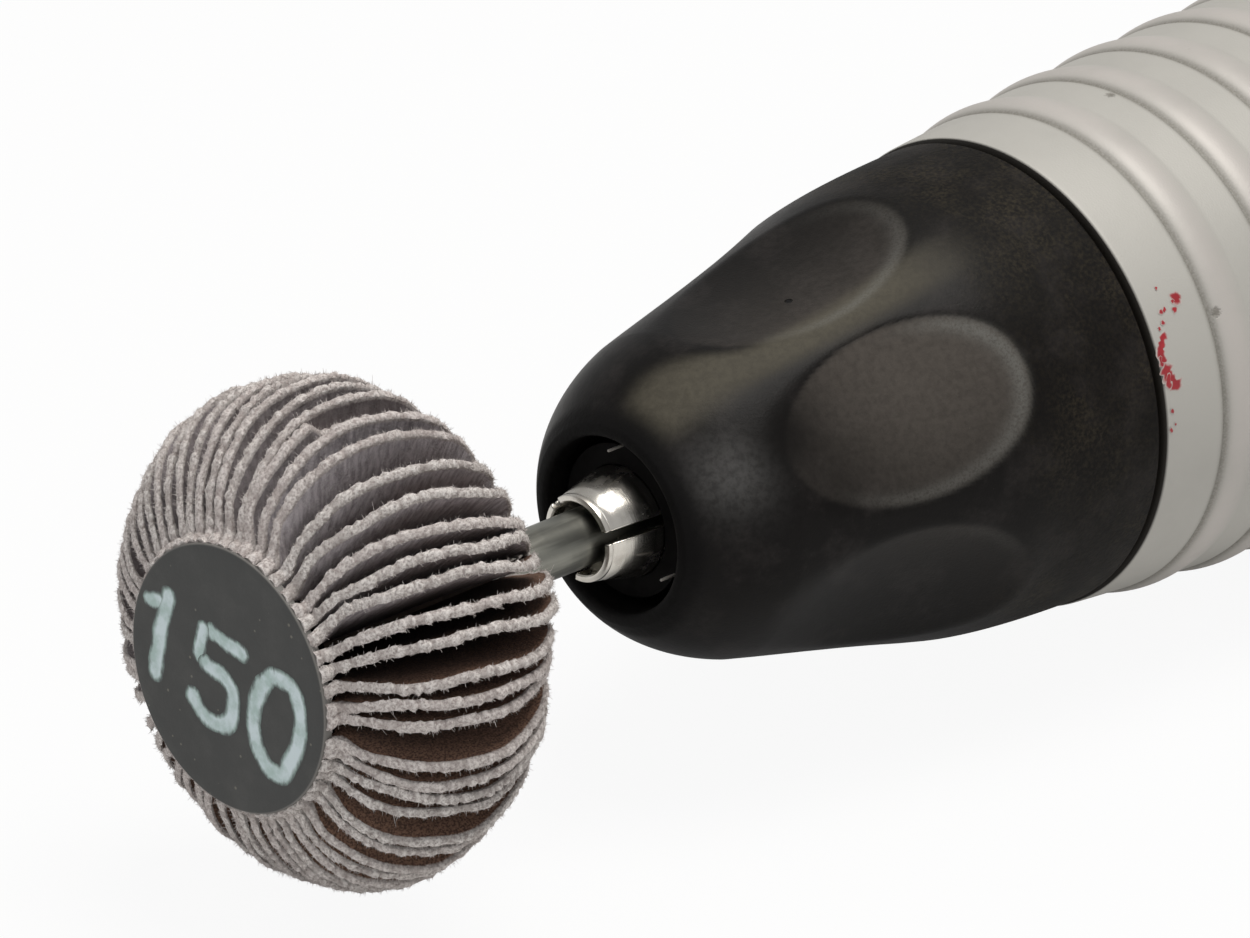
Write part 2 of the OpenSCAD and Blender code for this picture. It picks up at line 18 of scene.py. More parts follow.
import bmesh
import bpy
import numpy as np
from bmesh.types import BMEdge, BMesh, BMVert
from bpy.types import Mesh, Node, NodeSocket, NodeTree, Object
from mathutils import Matrix, Vector


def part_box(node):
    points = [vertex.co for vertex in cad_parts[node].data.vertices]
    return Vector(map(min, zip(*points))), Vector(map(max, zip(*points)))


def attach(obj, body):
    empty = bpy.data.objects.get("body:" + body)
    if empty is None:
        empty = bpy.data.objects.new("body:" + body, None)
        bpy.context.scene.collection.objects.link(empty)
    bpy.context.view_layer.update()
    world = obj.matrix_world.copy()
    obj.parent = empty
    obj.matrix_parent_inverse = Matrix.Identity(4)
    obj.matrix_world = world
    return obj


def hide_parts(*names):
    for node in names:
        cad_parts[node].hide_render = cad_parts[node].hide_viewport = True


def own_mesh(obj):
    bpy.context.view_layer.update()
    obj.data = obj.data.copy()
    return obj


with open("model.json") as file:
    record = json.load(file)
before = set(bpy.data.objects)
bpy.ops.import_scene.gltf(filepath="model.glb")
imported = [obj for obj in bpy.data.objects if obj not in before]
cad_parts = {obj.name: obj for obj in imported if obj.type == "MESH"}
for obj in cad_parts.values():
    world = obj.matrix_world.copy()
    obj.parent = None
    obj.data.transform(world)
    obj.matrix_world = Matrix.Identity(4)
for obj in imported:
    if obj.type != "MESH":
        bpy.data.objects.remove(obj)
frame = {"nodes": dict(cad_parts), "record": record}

LOG = logging.getLogger("handpiece")
MM = 0.001
TURNED_SECTORS = 4
WELD = 2e-4

Outline = list[tuple[float, float]]
Color = tuple[float, float, float]


def screen_color(red: int, green: int, blue: int) -> Color:
    """Turns a colour as a screen shows it, 0 to 255, into the linear values of a shader."""
    parts = (value / 255 for value in (red, green, blue))
    return tuple(c / 12.92 if c < 0.04045 else ((c + 0.055) / 1.055) ** 2.4 for c in parts)


def toned(color: Color, factor: float) -> Color:
    """A colour made brighter or darker."""
    return tuple(factor * c for c in color)


# ---- Node graphs ----


class Graph:
    """A shader node tree, with short calls for its nodes and links."""

    def __init__(self, tree: NodeTree) -> None:
        """Keeps the tree that the calls add to."""
        self.tree = tree

    @classmethod
    def blank(cls, owner: Any) -> "Graph":
        """Empties the node tree of a material or a world.

        Args:
            owner: The material or world.

        Returns:
            The graph of its nodes.
        """
        owner.use_nodes = True
        owner.node_tree.nodes.clear()
        return cls(owner.node_tree)

    def join(self, node: Node, inputs: Mapping[Any, Any]) -> None:
        """Gives a node's inputs their values or links.

        Args:
            node: The node.
            inputs: A value or an output socket for each named or numbered input.
        """
        for name, value in inputs.items():
            if isinstance(value, NodeSocket):
                self.tree.links.new(value, node.inputs[name])
            else:
                node.inputs[name].default_value = value

    def add(self, kind: str, inputs: Mapping[Any, Any] | None = None, **settings: Any) -> Node:
        """Adds a node.

        Args:
            kind: The node's type name.
            inputs: A value or an output socket for each named or numbered input.
            settings: The node's own properties.

        Returns:
            The new node.
        """
        node = self.tree.nodes.new(kind)
        for name, value in settings.items():
            setattr(node, name, value)
        self.join(node, inputs or {})
        return node

    def position(self) -> NodeSocket:
        """The place on the piece, in millimetres."""
        place = {0: self.add("ShaderNodeTexCoord").outputs["Object"], "Scale": 1 / MM}
        return self.add("ShaderNodeVectorMath", place, operation="SCALE").outputs[0]

    def stretch(self, vector: NodeSocket, *scale: float) -> NodeSocket:
        """A vector multiplied axis by axis."""
        return self.add("ShaderNodeMapping", {"Vector": vector, "Scale": scale}).outputs[0]

    def distance(self, place: NodeSocket, spot: Sequence[float]) -> NodeSocket:
        """How far a place is from a spot."""
        return self.add("ShaderNodeVectorMath", {0: place, 1: spot}, operation="DISTANCE").outputs["Value"]

    def noise(self, vector: NodeSocket, scale: float, detail: float = 3, roughness: float = 0.55) -> NodeSocket:
        """Soft random values over the surface.

        Args:
            vector: The place.
            scale: How many blobs lie along a millimetre.
            detail: How many finer layers are added.
            roughness: How strong the finer layers are.

        Returns:
            Values from 0 to 1.
        """
        sockets = {"Vector": vector, "Scale": scale, "Detail": detail, "Roughness": roughness}
        return self.add("ShaderNodeTexNoise", sockets).outputs["Fac"]

    def ramp(self, value: NodeSocket, low: Any, high: Any, start: float = 0, end: float = 1) -> NodeSocket:
        """A smooth step of a value.

        Args:
            value: The value that is mapped.
            low: Where the step begins.
            high: Where the step ends.
            start: The result up to low.
            end: The result from high on.

        Returns:
            The stepped value.
        """
        sockets = {"Value": value, "From Min": low, "From Max": high, "To Min": start, "To Max": end}
        return self.add("ShaderNodeMapRange", sockets, interpolation_type="SMOOTHSTEP").outputs[0]

    def math(self, operation: str, first: Any, second: Any) -> NodeSocket:
        """A sum, difference or other operation on two values."""
        return self.add("ShaderNodeMath", {0: first, 1: second}, operation=operation).outputs[0]

    def times(self, first: Any, second: Any) -> NodeSocket:
        """The product of two values."""
        return self.math("MULTIPLY", first, second)

    def larger(self, first: Any, second: Any) -> NodeSocket:
        """The larger of two values."""
        return self.math("MAXIMUM", first, second)

    def mix(self, share: Any, first: Any, second: Any) -> NodeSocket:
        """Mixes two colours.

        Args:
            share: How much of the second colour shows.
            first: A colour or a colour socket.
            second: A colour or a colour socket.

        Returns:
            The mixed colour.
        """
        first, second = (c if isinstance(c, NodeSocket) else (*c, 1) for c in (first, second))
        return self.add("ShaderNodeMix", {0: share, 6: first, 7: second}, data_type="RGBA").outputs[2]

    def coat(self, base: Any, color: Any, mask: NodeSocket, share: Any = None) -> NodeSocket:
        """Lays a colour over another.

        Args:
            base: The colour below.
            color: The colour that is laid over it.
            mask: Where it lies.
            share: How much it covers there, all of it if left out.

        Returns:
            The coated colour.
        """
        return self.mix(mask if share is None else self.times(mask, share), base, color)

    def attribute(self, name: str) -> NodeSocket:
        """A number that the mesh keeps for each of its points."""
        return self.add("ShaderNodeAttribute", attribute_name=name).outputs["Fac"]

    def bump(self, height: NodeSocket, depth: float) -> NodeSocket:
        """Turns a height from 0 to 1, which stands for a depth in millimetres, into a normal."""
        sockets = {"Height": height, "Distance": depth * MM, "Strength": 1.0}
        return self.add("ShaderNodeBump", sockets).outputs[0]

    def shown_directly(self, gloss_share: float) -> tuple[NodeSocket, Node]:
        """Where the surroundings show as plain white.

        Args:
            gloss_share: How much of the white a glossy surface reflects.

        Returns:
            The share of white, and the light path that it comes from.
        """
        path = self.add("ShaderNodeLightPath")
        gloss = self.times(path.outputs["Is Glossy Ray"], gloss_share)
        return self.larger(path.outputs["Is Camera Ray"], gloss), path


@dataclass(frozen=True)
class SharedEffect:
    """An effect that several finishes place, as a node group that is made once."""

    name: str
    output: str
    build: Callable[[Graph, Node], NodeSocket]
    numbers: tuple[tuple[str, float], ...]

    @lru_cache(maxsize=None)
    def tree(self) -> NodeTree:
        """Makes the group, the first time.

        Returns:
            The group, which takes the place and the effect's numbers.
        """
        tree = bpy.data.node_groups.new(self.name, "ShaderNodeTree")
        tree.interface.new_socket("Place", in_out="INPUT", socket_type="NodeSocketVector")
        for label, default in self.numbers:
            socket = tree.interface.new_socket(label, in_out="INPUT", socket_type="NodeSocketFloat")
            socket.default_value = default
        tree.interface.new_socket(self.output, in_out="OUTPUT", socket_type="NodeSocketFloat")
        graph = Graph(tree)
        graph.add("NodeGroupOutput", {self.output: self.build(graph, graph.add("NodeGroupInput"))})
        return tree

    def __call__(self, graph: Graph, place: NodeSocket, **numbers: float) -> NodeSocket:
        """Places the group and returns what it puts out."""
        inputs = {"Place": place, **numbers}
        return graph.add("ShaderNodeGroup", inputs, node_tree=self.tree()).outputs[0]


def pebbles(graph: Graph, entry: Node) -> NodeSocket:
    """Adds a fine pebbled grain of two sizes.

    Args:
        graph: The group's nodes.
        entry: What goes into the group.

    Returns:
        A height from 0 to 1.
    """
    place = {"Vector": entry.outputs["Place"], "Scale": entry.outputs["Scale"]}
    fine = graph.add("ShaderNodeTexNoise", {**place, "Detail": 4.0}).outputs["Fac"]
    coarse = graph.add("ShaderNodeTexVoronoi", place, feature="SMOOTH_F1").outputs[0]
    return graph.math("ADD", graph.times(fine, 0.6), graph.times(coarse, 0.5))


def soft_patches(graph: Graph, entry: Node) -> NodeSocket:
    """Cuts soft noise into patches with soft borders."""
    soft = graph.noise(entry.outputs["Place"], entry.outputs["Scale"], 5.0, 0.6)
    return graph.ramp(soft, entry.outputs["Low"], entry.outputs["High"])


def cell_middles(graph: Graph, entry: Node) -> NodeSocket:
    """Keeps the middles of a few cells, as specks of dust or grit.

    Args:
        graph: The group's nodes.
        entry: What goes into the group.

    Returns:
        The specks' mask.
    """
    place = {"Vector": entry.outputs["Place"], "Scale": entry.outputs["Scale"], "Randomness": 1.0}
    cells = graph.add("ShaderNodeTexVoronoi", place)
    tone = graph.add("ShaderNodeSeparateColor", {"Color": cells.outputs["Color"]}).outputs[0]
    reach = graph.times(graph.math("SUBTRACT", tone, entry.outputs["Rarity"]), 0.9)
    return graph.ramp(graph.math("SUBTRACT", reach, cells.outputs["Distance"]), 0.0, 0.08)


def cell_borders(graph: Graph, entry: Node) -> NodeSocket:
    """Keeps the narrow borders of bent cells where a broad noise is high, as scratches.

    Args:
        graph: The group's nodes.
        entry: What goes into the group.

    Returns:
        The scratches' mask.
    """
    place = entry.outputs["Place"]
    curl = graph.add("ShaderNodeTexNoise", {"Vector": place, "Scale": 0.4, "Detail": 2.0})
    bending = {0: curl.outputs["Color"], 1: (0.8, 0.8, 0.8), 2: place}
    bent = graph.add("ShaderNodeVectorMath", bending, operation="MULTIPLY_ADD").outputs[0]
    sockets = {"Vector": bent, "Scale": entry.outputs["Scale"]}
    cells = graph.add("ShaderNodeTexVoronoi", sockets, feature="DISTANCE_TO_EDGE")
    line = graph.ramp(cells.outputs["Distance"], 0.0, 0.018, 1.0, 0.0)
    broad = graph.add("ShaderNodeTexNoise", {"Vector": place, "Scale": 0.9, "Detail": 2.0})
    return graph.times(line, graph.ramp(broad.outputs["Fac"], 0.52, 0.66))


grain = SharedEffect("fine_grain", "Height", pebbles, (("Scale", 6.0),))
patches = SharedEffect("uneven_patches", "Mask", soft_patches, (("Scale", 0.3), ("Low", 0.45), ("High", 0.7)))
specks = SharedEffect("specks", "Mask", cell_middles, (("Scale", 2.0), ("Rarity", 0.6)))
scratches = SharedEffect("scratches", "Mask", cell_borders, (("Scale", 0.5),))


# ---- Finishes ----


@dataclass(frozen=True)
class Finish:
    """A surface finish. Its material is made when it is first used."""

    name: str
    color: Color
    roughness: float = 0.5
    metallic: float = 0.0
    specular: float = 0.5

    @lru_cache(maxsize=None)
    def material(self) -> bpy.types.Material:
        """Makes the material with a Principled shader, the first time.

        Returns:
            The finish's material.
        """
        material = bpy.data.materials.new(self.name)
        graph = Graph.blank(material)
        sockets = {
            "Base Color": (*self.color, 1),
            "Roughness": self.roughness,
            "Metallic": self.metallic,
            "Specular IOR Level": self.specular,
        }
        shader = graph.add("ShaderNodeBsdfPrincipled", sockets)
        graph.add("ShaderNodeOutputMaterial", {"Surface": shader.outputs[0]})
        graph.join(shader, self.shade(graph, graph.position()))
        return material

    def shade(self, graph: Graph, place: NodeSocket) -> dict[str, NodeSocket]:
        """Adds the finish's own nodes.

        Args:
            graph: The material's nodes.
            place: The place on the piece, in millimetres.

        Returns:
            What feeds the Principled shader, by the name of its input.
        """
        return {}


@dataclass(frozen=True)
class MachinedMetal(Finish):
    """Turned or ground metal with fine lines, stains and small scratches."""

    metallic: float = 1.0
    stain: Color = (0.1, 0.1, 0.1)
    stain_share: float = 0.3
    line_depth: float = 0.004
    lines_per_mm: float = 7.0
    # Lengthwise bands of painted highlight: their share and brightness.
    sheen_streak_share: float = 0.0
    sheen_streak_tone: float = 2.1
    scratch_share: float = 0.8
    grit: Color = screen_color(206, 204, 196)

    def shade(self, graph: Graph, place: NodeSocket) -> dict[str, NodeSocket]:
        """Adds the turning lines, the stains, the scratches and any lengthwise bands of painted highlight.

        Args:
            graph: The material's nodes.
            place: The place on the piece, in millimetres.

        Returns:
            What feeds the Principled shader, by the name of its input.
        """
        lines = graph.noise(graph.stretch(place, self.lines_per_mm, 0.25, 0.25), 1.0, 2)
        stains = patches(graph, place, Scale=0.55, Low=0.42, High=0.78)
        marks = scratches(graph, graph.stretch(place, 0.5, 1.4, 1.4), Scale=0.8)
        color = graph.coat(self.color, self.stain, stains, self.stain_share)
        color = graph.coat(color, toned(self.color, 0.6), lines, 0.22)
        # Lengthwise lighter bands from stretched noise are painted highlight, with pale grit specks.
        if self.sheen_streak_share:
            sheen_streaks = graph.ramp(graph.noise(graph.stretch(place, 0.1, 0.9, 0.9), 1.0), 0.42, 0.6)
            grit = specks(graph, graph.stretch(place, 0.6, 1.0, 1.0), Scale=2.6, Rarity=0.86)
            color = graph.coat(color, toned(self.color, self.sheen_streak_tone), sheen_streaks, self.sheen_streak_share)
            color = graph.coat(color, self.grit, grit, 0.5)
        height = graph.math("SUBTRACT", lines, graph.times(marks, self.scratch_share))
        return {
            "Base Color": color,
            "Roughness": graph.ramp(stains, 0.0, 1.2, self.roughness, self.roughness + 0.22),
            "Normal": graph.bump(height, self.line_depth),
        }


@dataclass(frozen=True)
class BlastedAluminium(Finish):
    """Bead-blasted aluminium: ribs worn a little brighter, painted shade in the creases and by the front gap, small
    dirty nicks.
    """

    metallic: float = 0.3
    rib_color: Color = screen_color(193, 188, 183)
    # Colour of the dirty nicks, and of the painted shade in the creases.
    dirt_and_shade: Color = screen_color(104, 100, 91)
    # Colour of the painted shade on the front chamfer, by the gap to the grip.
    gap_shade: Color = screen_color(30, 26, 20)
    nicks: tuple[tuple[float, float, float], ...] = ()

    def shade(self, graph: Graph, place: NodeSocket) -> dict[str, NodeSocket]:
        """Adds the ribs' tint, painted shade in the creases and on the front chamfer by the gap, the blasted grain
        and the dirty nicks.

        Args:
            graph: The material's nodes.
            place: The place on the piece, in millimetres.

        Returns:
            What feeds the Principled shader, by the name of its input.
        """
        rib = graph.attribute("rib")
        blasted = grain(graph, place, Scale=9.0)
        clouds = patches(graph, place, Scale=0.16, Low=0.4, High=0.72)
        nicks = specks(graph, place, Scale=0.55, Rarity=0.93)
        for spot in self.nicks:
            ragged = graph.math("ADD", graph.distance(place, spot), graph.times(blasted, 0.35))
            nicks = graph.larger(nicks, graph.ramp(ragged, 0.3, 0.55, 1.0, 0.0))
        dust = specks(graph, graph.stretch(place, 1.0, 1.3, 0.8), Scale=1.7, Rarity=0.9)
        color = graph.coat(self.color, self.rib_color, rib)
        color = graph.coat(color, toned(self.color, 0.82), clouds, 0.3)
        # Painted shade along each crease in front of a rib.
        color = graph.coat(color, self.dirt_and_shade, graph.attribute("crease"), graph.ramp(blasted, 0.2, 0.75, 0.45, 0.75))
        color = graph.coat(color, self.dirt_and_shade, nicks, 0.75)
        color = graph.coat(color, toned(self.color, 0.66), dust, 0.3)
        # The front chamfer is painted dark as the shade of the gap to the grip.
        return {
            "Base Color": graph.coat(color, self.gap_shade, graph.attribute("gap")),
            "Roughness": graph.ramp(rib, 0.0, 1.0, self.roughness, self.roughness - 0.08),
            "Normal": graph.bump(graph.math("SUBTRACT", blasted, graph.times(nicks, 3.0)), 0.012),
        }


@dataclass(frozen=True)
class MouldedPlastic(Finish):
    """Black moulded plastic with a fine grain, dull patches and dust."""

    grain_depth: float = 0.012
    dull: Color = screen_color(58, 54, 50)
    dust: Color = screen_color(120, 114, 106)

    def shade(self, graph: Graph, place: NodeSocket) -> dict[str, NodeSocket]:
        """Adds the grain, the dull patches and the dust.

        Args:
            graph: The material's nodes.
            place: The place on the piece, in millimetres.

        Returns:
            What feeds the Principled shader, by the name of its input.
        """
        worn = patches(graph, place, Scale=0.22, Low=0.42, High=0.75)
        dust = specks(graph, place, Scale=1.6, Rarity=0.92)
        color = graph.coat(self.color, self.dull, worn, 0.6)
        return {
            "Base Color": graph.coat(color, self.dust, dust, 0.25),
            "Roughness": graph.ramp(worn, 0.0, 1.0, self.roughness, self.roughness + 0.16),
            "Normal": graph.bump(grain(graph, place, Scale=5.0), self.grain_depth),
        }


@dataclass(frozen=True)
class GripPlastic(MouldedPlastic):
    """The grip's plastic: dusty scallops and ridge band with painted light on them, a mottled rear, a worn front
    patch with a painted highlight, and painted shade.
    """

    dust: Color = screen_color(126, 120, 110)
    grit: Color = screen_color(110, 104, 96)
    # Scallop floors: dust, with painted light that makes the upper scallops and their rear parts lighter.
    floor: Color = screen_color(80, 75, 70)
    # Band beside the ridge: dust, with a painted highlight on its lit flank.
    ridge: Color = screen_color(82, 78, 68)
    # Scallop rims: wear, with a painted highlight at the rear and on the lit side.
    rubbed_rim_highlight: Color = screen_color(118, 118, 114)
    # Front patch: wear, with a painted highlight.
    polished: Color = screen_color(82, 81, 80)
    mottle: Color = screen_color(72, 65, 50)
    dark: Color = screen_color(14, 12, 11)
    # Painted shade: the mouth's bore and lip and the pinhole.
    deep: Color = screen_color(10, 9, 9)
    pinhole: tuple[float, float, float] = (0.0, 0.0, 0.0)

    def shade(self, graph: Graph, place: NodeSocket) -> dict[str, NodeSocket]:
        """Adds the leather-like grain and lays the colours over each other, each by its mark.

        Args:
            graph: The material's nodes.
            place: The place on the piece, in millimetres.

        Returns:
            What feeds the Principled shader, by the name of its input.
        """
        marks = ("scallop", "rim", "rear", "ridge", "mouth", "polish", "crease")
        scallop, rim, rear, ridge, mouth, polish, crease = map(graph.attribute, marks)
        leather = graph.noise(place, 2.6, 6, 0.62)
        pores = graph.noise(place, 7.5, 3, 0.6)
        clouds = patches(graph, place, Scale=0.34, Low=0.46, High=0.66)
        broad = patches(graph, place, Scale=0.22, Low=0.38, High=0.7)
        olive = patches(graph, place, Scale=4.6, Low=0.36, High=0.72)
        dust = specks(graph, place, Scale=1.3, Rarity=0.93)
        grit = specks(graph, graph.stretch(place, 1.0, 1.6, 0.7), Scale=3.4, Rarity=0.9)
        hole = graph.ramp(graph.distance(place, self.pinhole), 0.12, 0.24, 1.0, 0.0)
        color = graph.mix(graph.ramp(leather, 0.35, 0.65), self.dark, self.color)
        for layer, mask, share in (
            (self.dull, clouds, graph.ramp(leather, 0.3, 0.7, 0.35, 0.9)),
            # Scallop floors: dust and painted light.
            (self.floor, scallop, graph.ramp(leather, 0.25, 0.7, 0.72, 1.0)),
            (self.mottle, graph.times(rear, graph.ramp(broad, 0.0, 1.0, 0.25, 0.95)), graph.times(olive, 0.45)),
            # Ridge band: dust and painted highlight.
            (self.ridge, ridge, graph.ramp(leather, 0.3, 0.7, 0.72, 0.95)),
            # Front patch: painted highlight.
            (self.polished, polish, graph.ramp(leather, 0.3, 0.65, 0.5, 0.9)),
            # Painted shade in the hollow in front of a scallop.
            (self.dark, crease, 0.85),
            # Scallop rims: painted highlight.
            (self.rubbed_rim_highlight, rim, graph.ramp(pores, 0.3, 0.6, 0.25, 0.6)),
            (self.dust, dust, 0.3),
            (self.grit, grit, 0.28),
            # Painted shade: the mouth and the pinhole go near black.
            (self.deep, graph.larger(hole, graph.times(mouth, 0.9)), None),
        ):
            color = graph.coat(color, layer, mask, share)
        matt = graph.larger(graph.larger(scallop, mouth), graph.times(rear, 0.75))
        matt = graph.larger(matt, graph.times(ridge, 0.7))
        rough = graph.ramp(matt, 0.0, 1.0, self.roughness, self.roughness + 0.26)
        coarse = graph.times(leather, graph.ramp(matt, 0.0, 0.8, 0.12, 1.0))
        height = graph.math("ADD", coarse, graph.times(pores, 0.25))
        return {
            "Base Color": color,
            "Roughness": graph.math("ADD", rough, graph.times(leather, 0.12)),
            "Normal": graph.bump(graph.math("SUBTRACT", height, graph.times(hole, 4.0)), self.grain_depth),
        }


@dataclass(frozen=True)
class FlapCloth(Finish):
    """Abrasive cloth: brown grit on one face, woven backing on the other, cotton at the rims, and painted shade
    between the flaps.
    """

    grit: Color = screen_color(184, 140, 114)
    spark: Color = screen_color(190, 140, 104)
    backing: Color = screen_color(198, 190, 194)
    backing_dark: Color = screen_color(150, 143, 146)
    # Painted shade laid over the backing of closely packed flaps.
    packed_shade_color: Color = screen_color(64, 51, 45)
    # Colour of the painted shade deep between the flaps.
    deep: Color = screen_color(46, 36, 32)
    thread: Color = screen_color(230, 225, 221)
    thread_dark: Color = screen_color(152, 143, 139)
    thread_tint: Color = screen_color(190, 172, 170)

    def shade(self, graph: Graph, place: NodeSocket) -> dict[str, NodeSocket]:
        """Adds the grit, the weave, the cotton threads and the painted shade deep between the flaps, on packed
        flaps and in the dips of the rims.

        Args:
            graph: The material's nodes.
            place: The place on the piece, in millimetres.

        Returns:
            What feeds the Principled shader, by the name of its input.
        """
        marks = ("side", "rim", "tuft", "flap", "grime", "depth")
        side, rim, tuft, flap, grime, depth = map(graph.attribute, marks)
        fine = graph.noise(place, 9.0, 4)
        weave = graph.noise(graph.stretch(place, 5.0, 1.2, 1.2), 1.0)
        wisps = graph.noise(graph.stretch(place, 2.2, 2.2, 2.2), 2.6, 5, 0.7)
        brown = graph.mix(graph.ramp(fine, 0.36, 0.64), toned(self.color, 0.3), self.color)
        brown = graph.coat(brown, self.grit, specks(graph, place, Scale=5.5, Rarity=0.74), 0.8)
        brown = graph.coat(brown, self.spark, specks(graph, place, Scale=3.6, Rarity=0.9), 0.6)
        cloth = graph.mix(graph.ramp(weave, 0.3, 0.7), self.backing_dark, self.backing)
        cloth = graph.coat(cloth, self.thread, graph.ramp(fine, 0.45, 0.8), 0.35)
        # Packed flaps get painted shade on their backing.
        cloth = graph.coat(cloth, self.packed_shade_color, grime, 0.72)
        face = graph.mix(graph.ramp(side, 0.45, 0.55), brown, cloth)
        # Painted shade, deeper between the flaps.
        face = graph.coat(face, self.deep, graph.ramp(depth, 0.5, 0.97, 0.62, 0.0))
        cotton = graph.mix(graph.ramp(wisps, 0.34, 0.62), self.thread_dark, self.thread)
        # Painted shade in the dips between tufts.
        cotton = graph.coat(cotton, self.thread_dark, graph.ramp(tuft, 0.0, 0.6, 0.6, 0.0))
        cotton = graph.coat(cotton, self.thread_tint, flap, 0.25)
        torn = graph.ramp(graph.math("ADD", rim, graph.times(fine, 0.35)), 0.52, 0.78)
        height = graph.math("ADD", graph.times(fine, 0.8), graph.times(wisps, 0.9))
        return {"Base Color": graph.mix(torn, face, cotton), "Normal": graph.bump(height, 0.07)}


@dataclass(frozen=True)
class CardLabel(Finish):
    """Dark grey card with a fine tooth, pale specks and a pale cut edge."""

    cloud: Color = screen_color(84, 84, 82)
    tooth: Color = screen_color(44, 44, 44)
    speck: Color = screen_color(132, 128, 116)
    edge: Color = screen_color(126, 123, 119)

    def shade(self, graph: Graph, place: NodeSocket) -> dict[str, NodeSocket]:
        """Adds the tooth, the specks and the cut edge.

        Args:
            graph: The material's nodes.
            place: The place on the piece, in millimetres.

        Returns:
            What feeds the Principled shader, by the name of its input.
        """
        tooth = grain(graph, place, Scale=8.0)
        color = graph.coat(self.color, self.cloud, patches(graph, place, Scale=0.4, Low=0.4, High=0.75), 0.5)
        color = graph.coat(color, self.tooth, tooth, 0.3)
        color = graph.coat(color, self.speck, specks(graph, place, Scale=1.7, Rarity=0.8), 0.55)
        color = graph.coat(color, self.edge, graph.attribute("edge"))
        return {"Base Color": color, "Normal": graph.bump(tooth, 0.012)}


@dataclass(frozen=True)
class BrushPaint(Finish):
    """Thin paint that lets the ground show at its rough edges."""

    second: Color = screen_color(142, 172, 160)
    ground: Color = screen_color(74, 78, 78)

    def shade(self, graph: Graph, place: NodeSocket) -> dict[str, NodeSocket]:
        """Adds the second tint, the thin places and the rough edge.

        Args:
            graph: The material's nodes.
            place: The place on the piece, in millimetres.

        Returns:
            What feeds the Principled shader, by the name of its input.
        """
        tint = patches(graph, place, Scale=0.6, Low=0.4, High=0.64)
        thin = graph.noise(graph.stretch(place, 1.0, 1.6, 0.7), 1.9, 5, 0.62)
        inside = graph.attribute("inside")
        edge = graph.ramp(inside, 0.1, 0.6, 0.8, 0.0)
        color = graph.mix(graph.larger(graph.times(tint, 0.6), edge), self.color, self.second)
        cover = graph.ramp(graph.math("ADD", inside, thin), 0.44, 1.02)
        return {"Base Color": graph.mix(cover, self.ground, color), "Normal": graph.bump(thin, 0.015)}


@dataclass(frozen=True)
class CastResin(Finish):
    """Cast resin with bubbles and uneven colour."""

    def shade(self, graph: Graph, place: NodeSocket) -> dict[str, NodeSocket]:
        """Adds the uneven colour and the bubbles.

        Args:
            graph: The material's nodes.
            place: The place on the piece, in millimetres.

        Returns:
            What feeds the Principled shader, by the name of its input.
        """
        clouds = patches(graph, place, Scale=0.7, Low=0.35, High=0.7)
        bubbles = specks(graph, place, Scale=2.2, Rarity=0.85)
        height = graph.math("SUBTRACT", 1.0, bubbles)
        return {
            "Base Color": graph.coat(self.color, toned(self.color, 0.55), clouds),
            "Normal": graph.bump(height, 0.05),
        }


class Surface(Enum):
    """The finishes of the tool's surfaces, by what they cover."""

    STEEL = MachinedMetal("ground_steel", screen_color(176, 174, 170), 0.32, stain=screen_color(110, 106, 98))
    # The shank's lengthwise lighter bands are painted highlight.
    SHANK = MachinedMetal(
        "shank_steel",
        screen_color(112, 112, 106),
        0.36,
        stain=screen_color(84, 82, 76),
        line_depth=0.003,
        sheen_streak_share=0.85,
    )
    # Pale steel ribs that also stand for glints inside the mouth: partly painted highlight.
    GLINT_PALE_STEEL = MachinedMetal("pale_steel_glint", screen_color(158, 154, 148), 0.5, metallic=0.2)
    # Black oxide made darker still and nearly without gloss, so that the spindle in the mouth reads as shade:
    # partly painted shade.
    BLACK_STEEL_AND_SHADE = MachinedMetal(
        "black_steel_and_shade",
        screen_color(11, 10, 10),
        0.7,
        metallic=0.0,
        specular=0.06,
        stain=screen_color(8, 7, 7),
        line_depth=0.003,
    )
    CHROME = MachinedMetal(
        "bright_collet",
        screen_color(226, 222, 214),
        0.2,
        stain=screen_color(116, 106, 92),
        stain_share=0.5,
        scratch_share=0.0,
    )
    BRASS = MachinedMetal("machined_brass", screen_color(206, 170, 96), 0.3, stain=screen_color(140, 104, 52))
    ALUMINIUM = BlastedAluminium(
        "blasted_aluminium",
        screen_color(184, 182, 176),
        0.6,
        metallic=0.2,
        nicks=((-101.5, -11.9, 5.8), (-97.4, -0.4, 13.35), (-106.0, -1.65, 13.0)),
    )
    PLASTIC = MouldedPlastic("cap_black", screen_color(30, 27, 25), 0.42, specular=0.3)
    RUBBER = MouldedPlastic(
        "black_rubber", screen_color(26, 24, 23), 0.6, specular=0.3, dull=screen_color(44, 41, 38)
    )
    RESIN = CastResin("cast_resin", screen_color(92, 70, 54), 0.5)
    CLOTH = FlapCloth("flap_cloth", screen_color(130, 98, 80), 0.92)
    LABEL = CardLabel("label_card", screen_color(66, 67, 66), 0.68)
    NUMERAL_PAINT = BrushPaint("numeral_paint", screen_color(212, 226, 230), 0.6)
    RED_PAINT = BrushPaint(
        "red_paint",
        screen_color(172, 40, 48),
        0.45,
        second=screen_color(132, 28, 38),
        ground=screen_color(190, 184, 178),
    )


# ---- Meshes ----


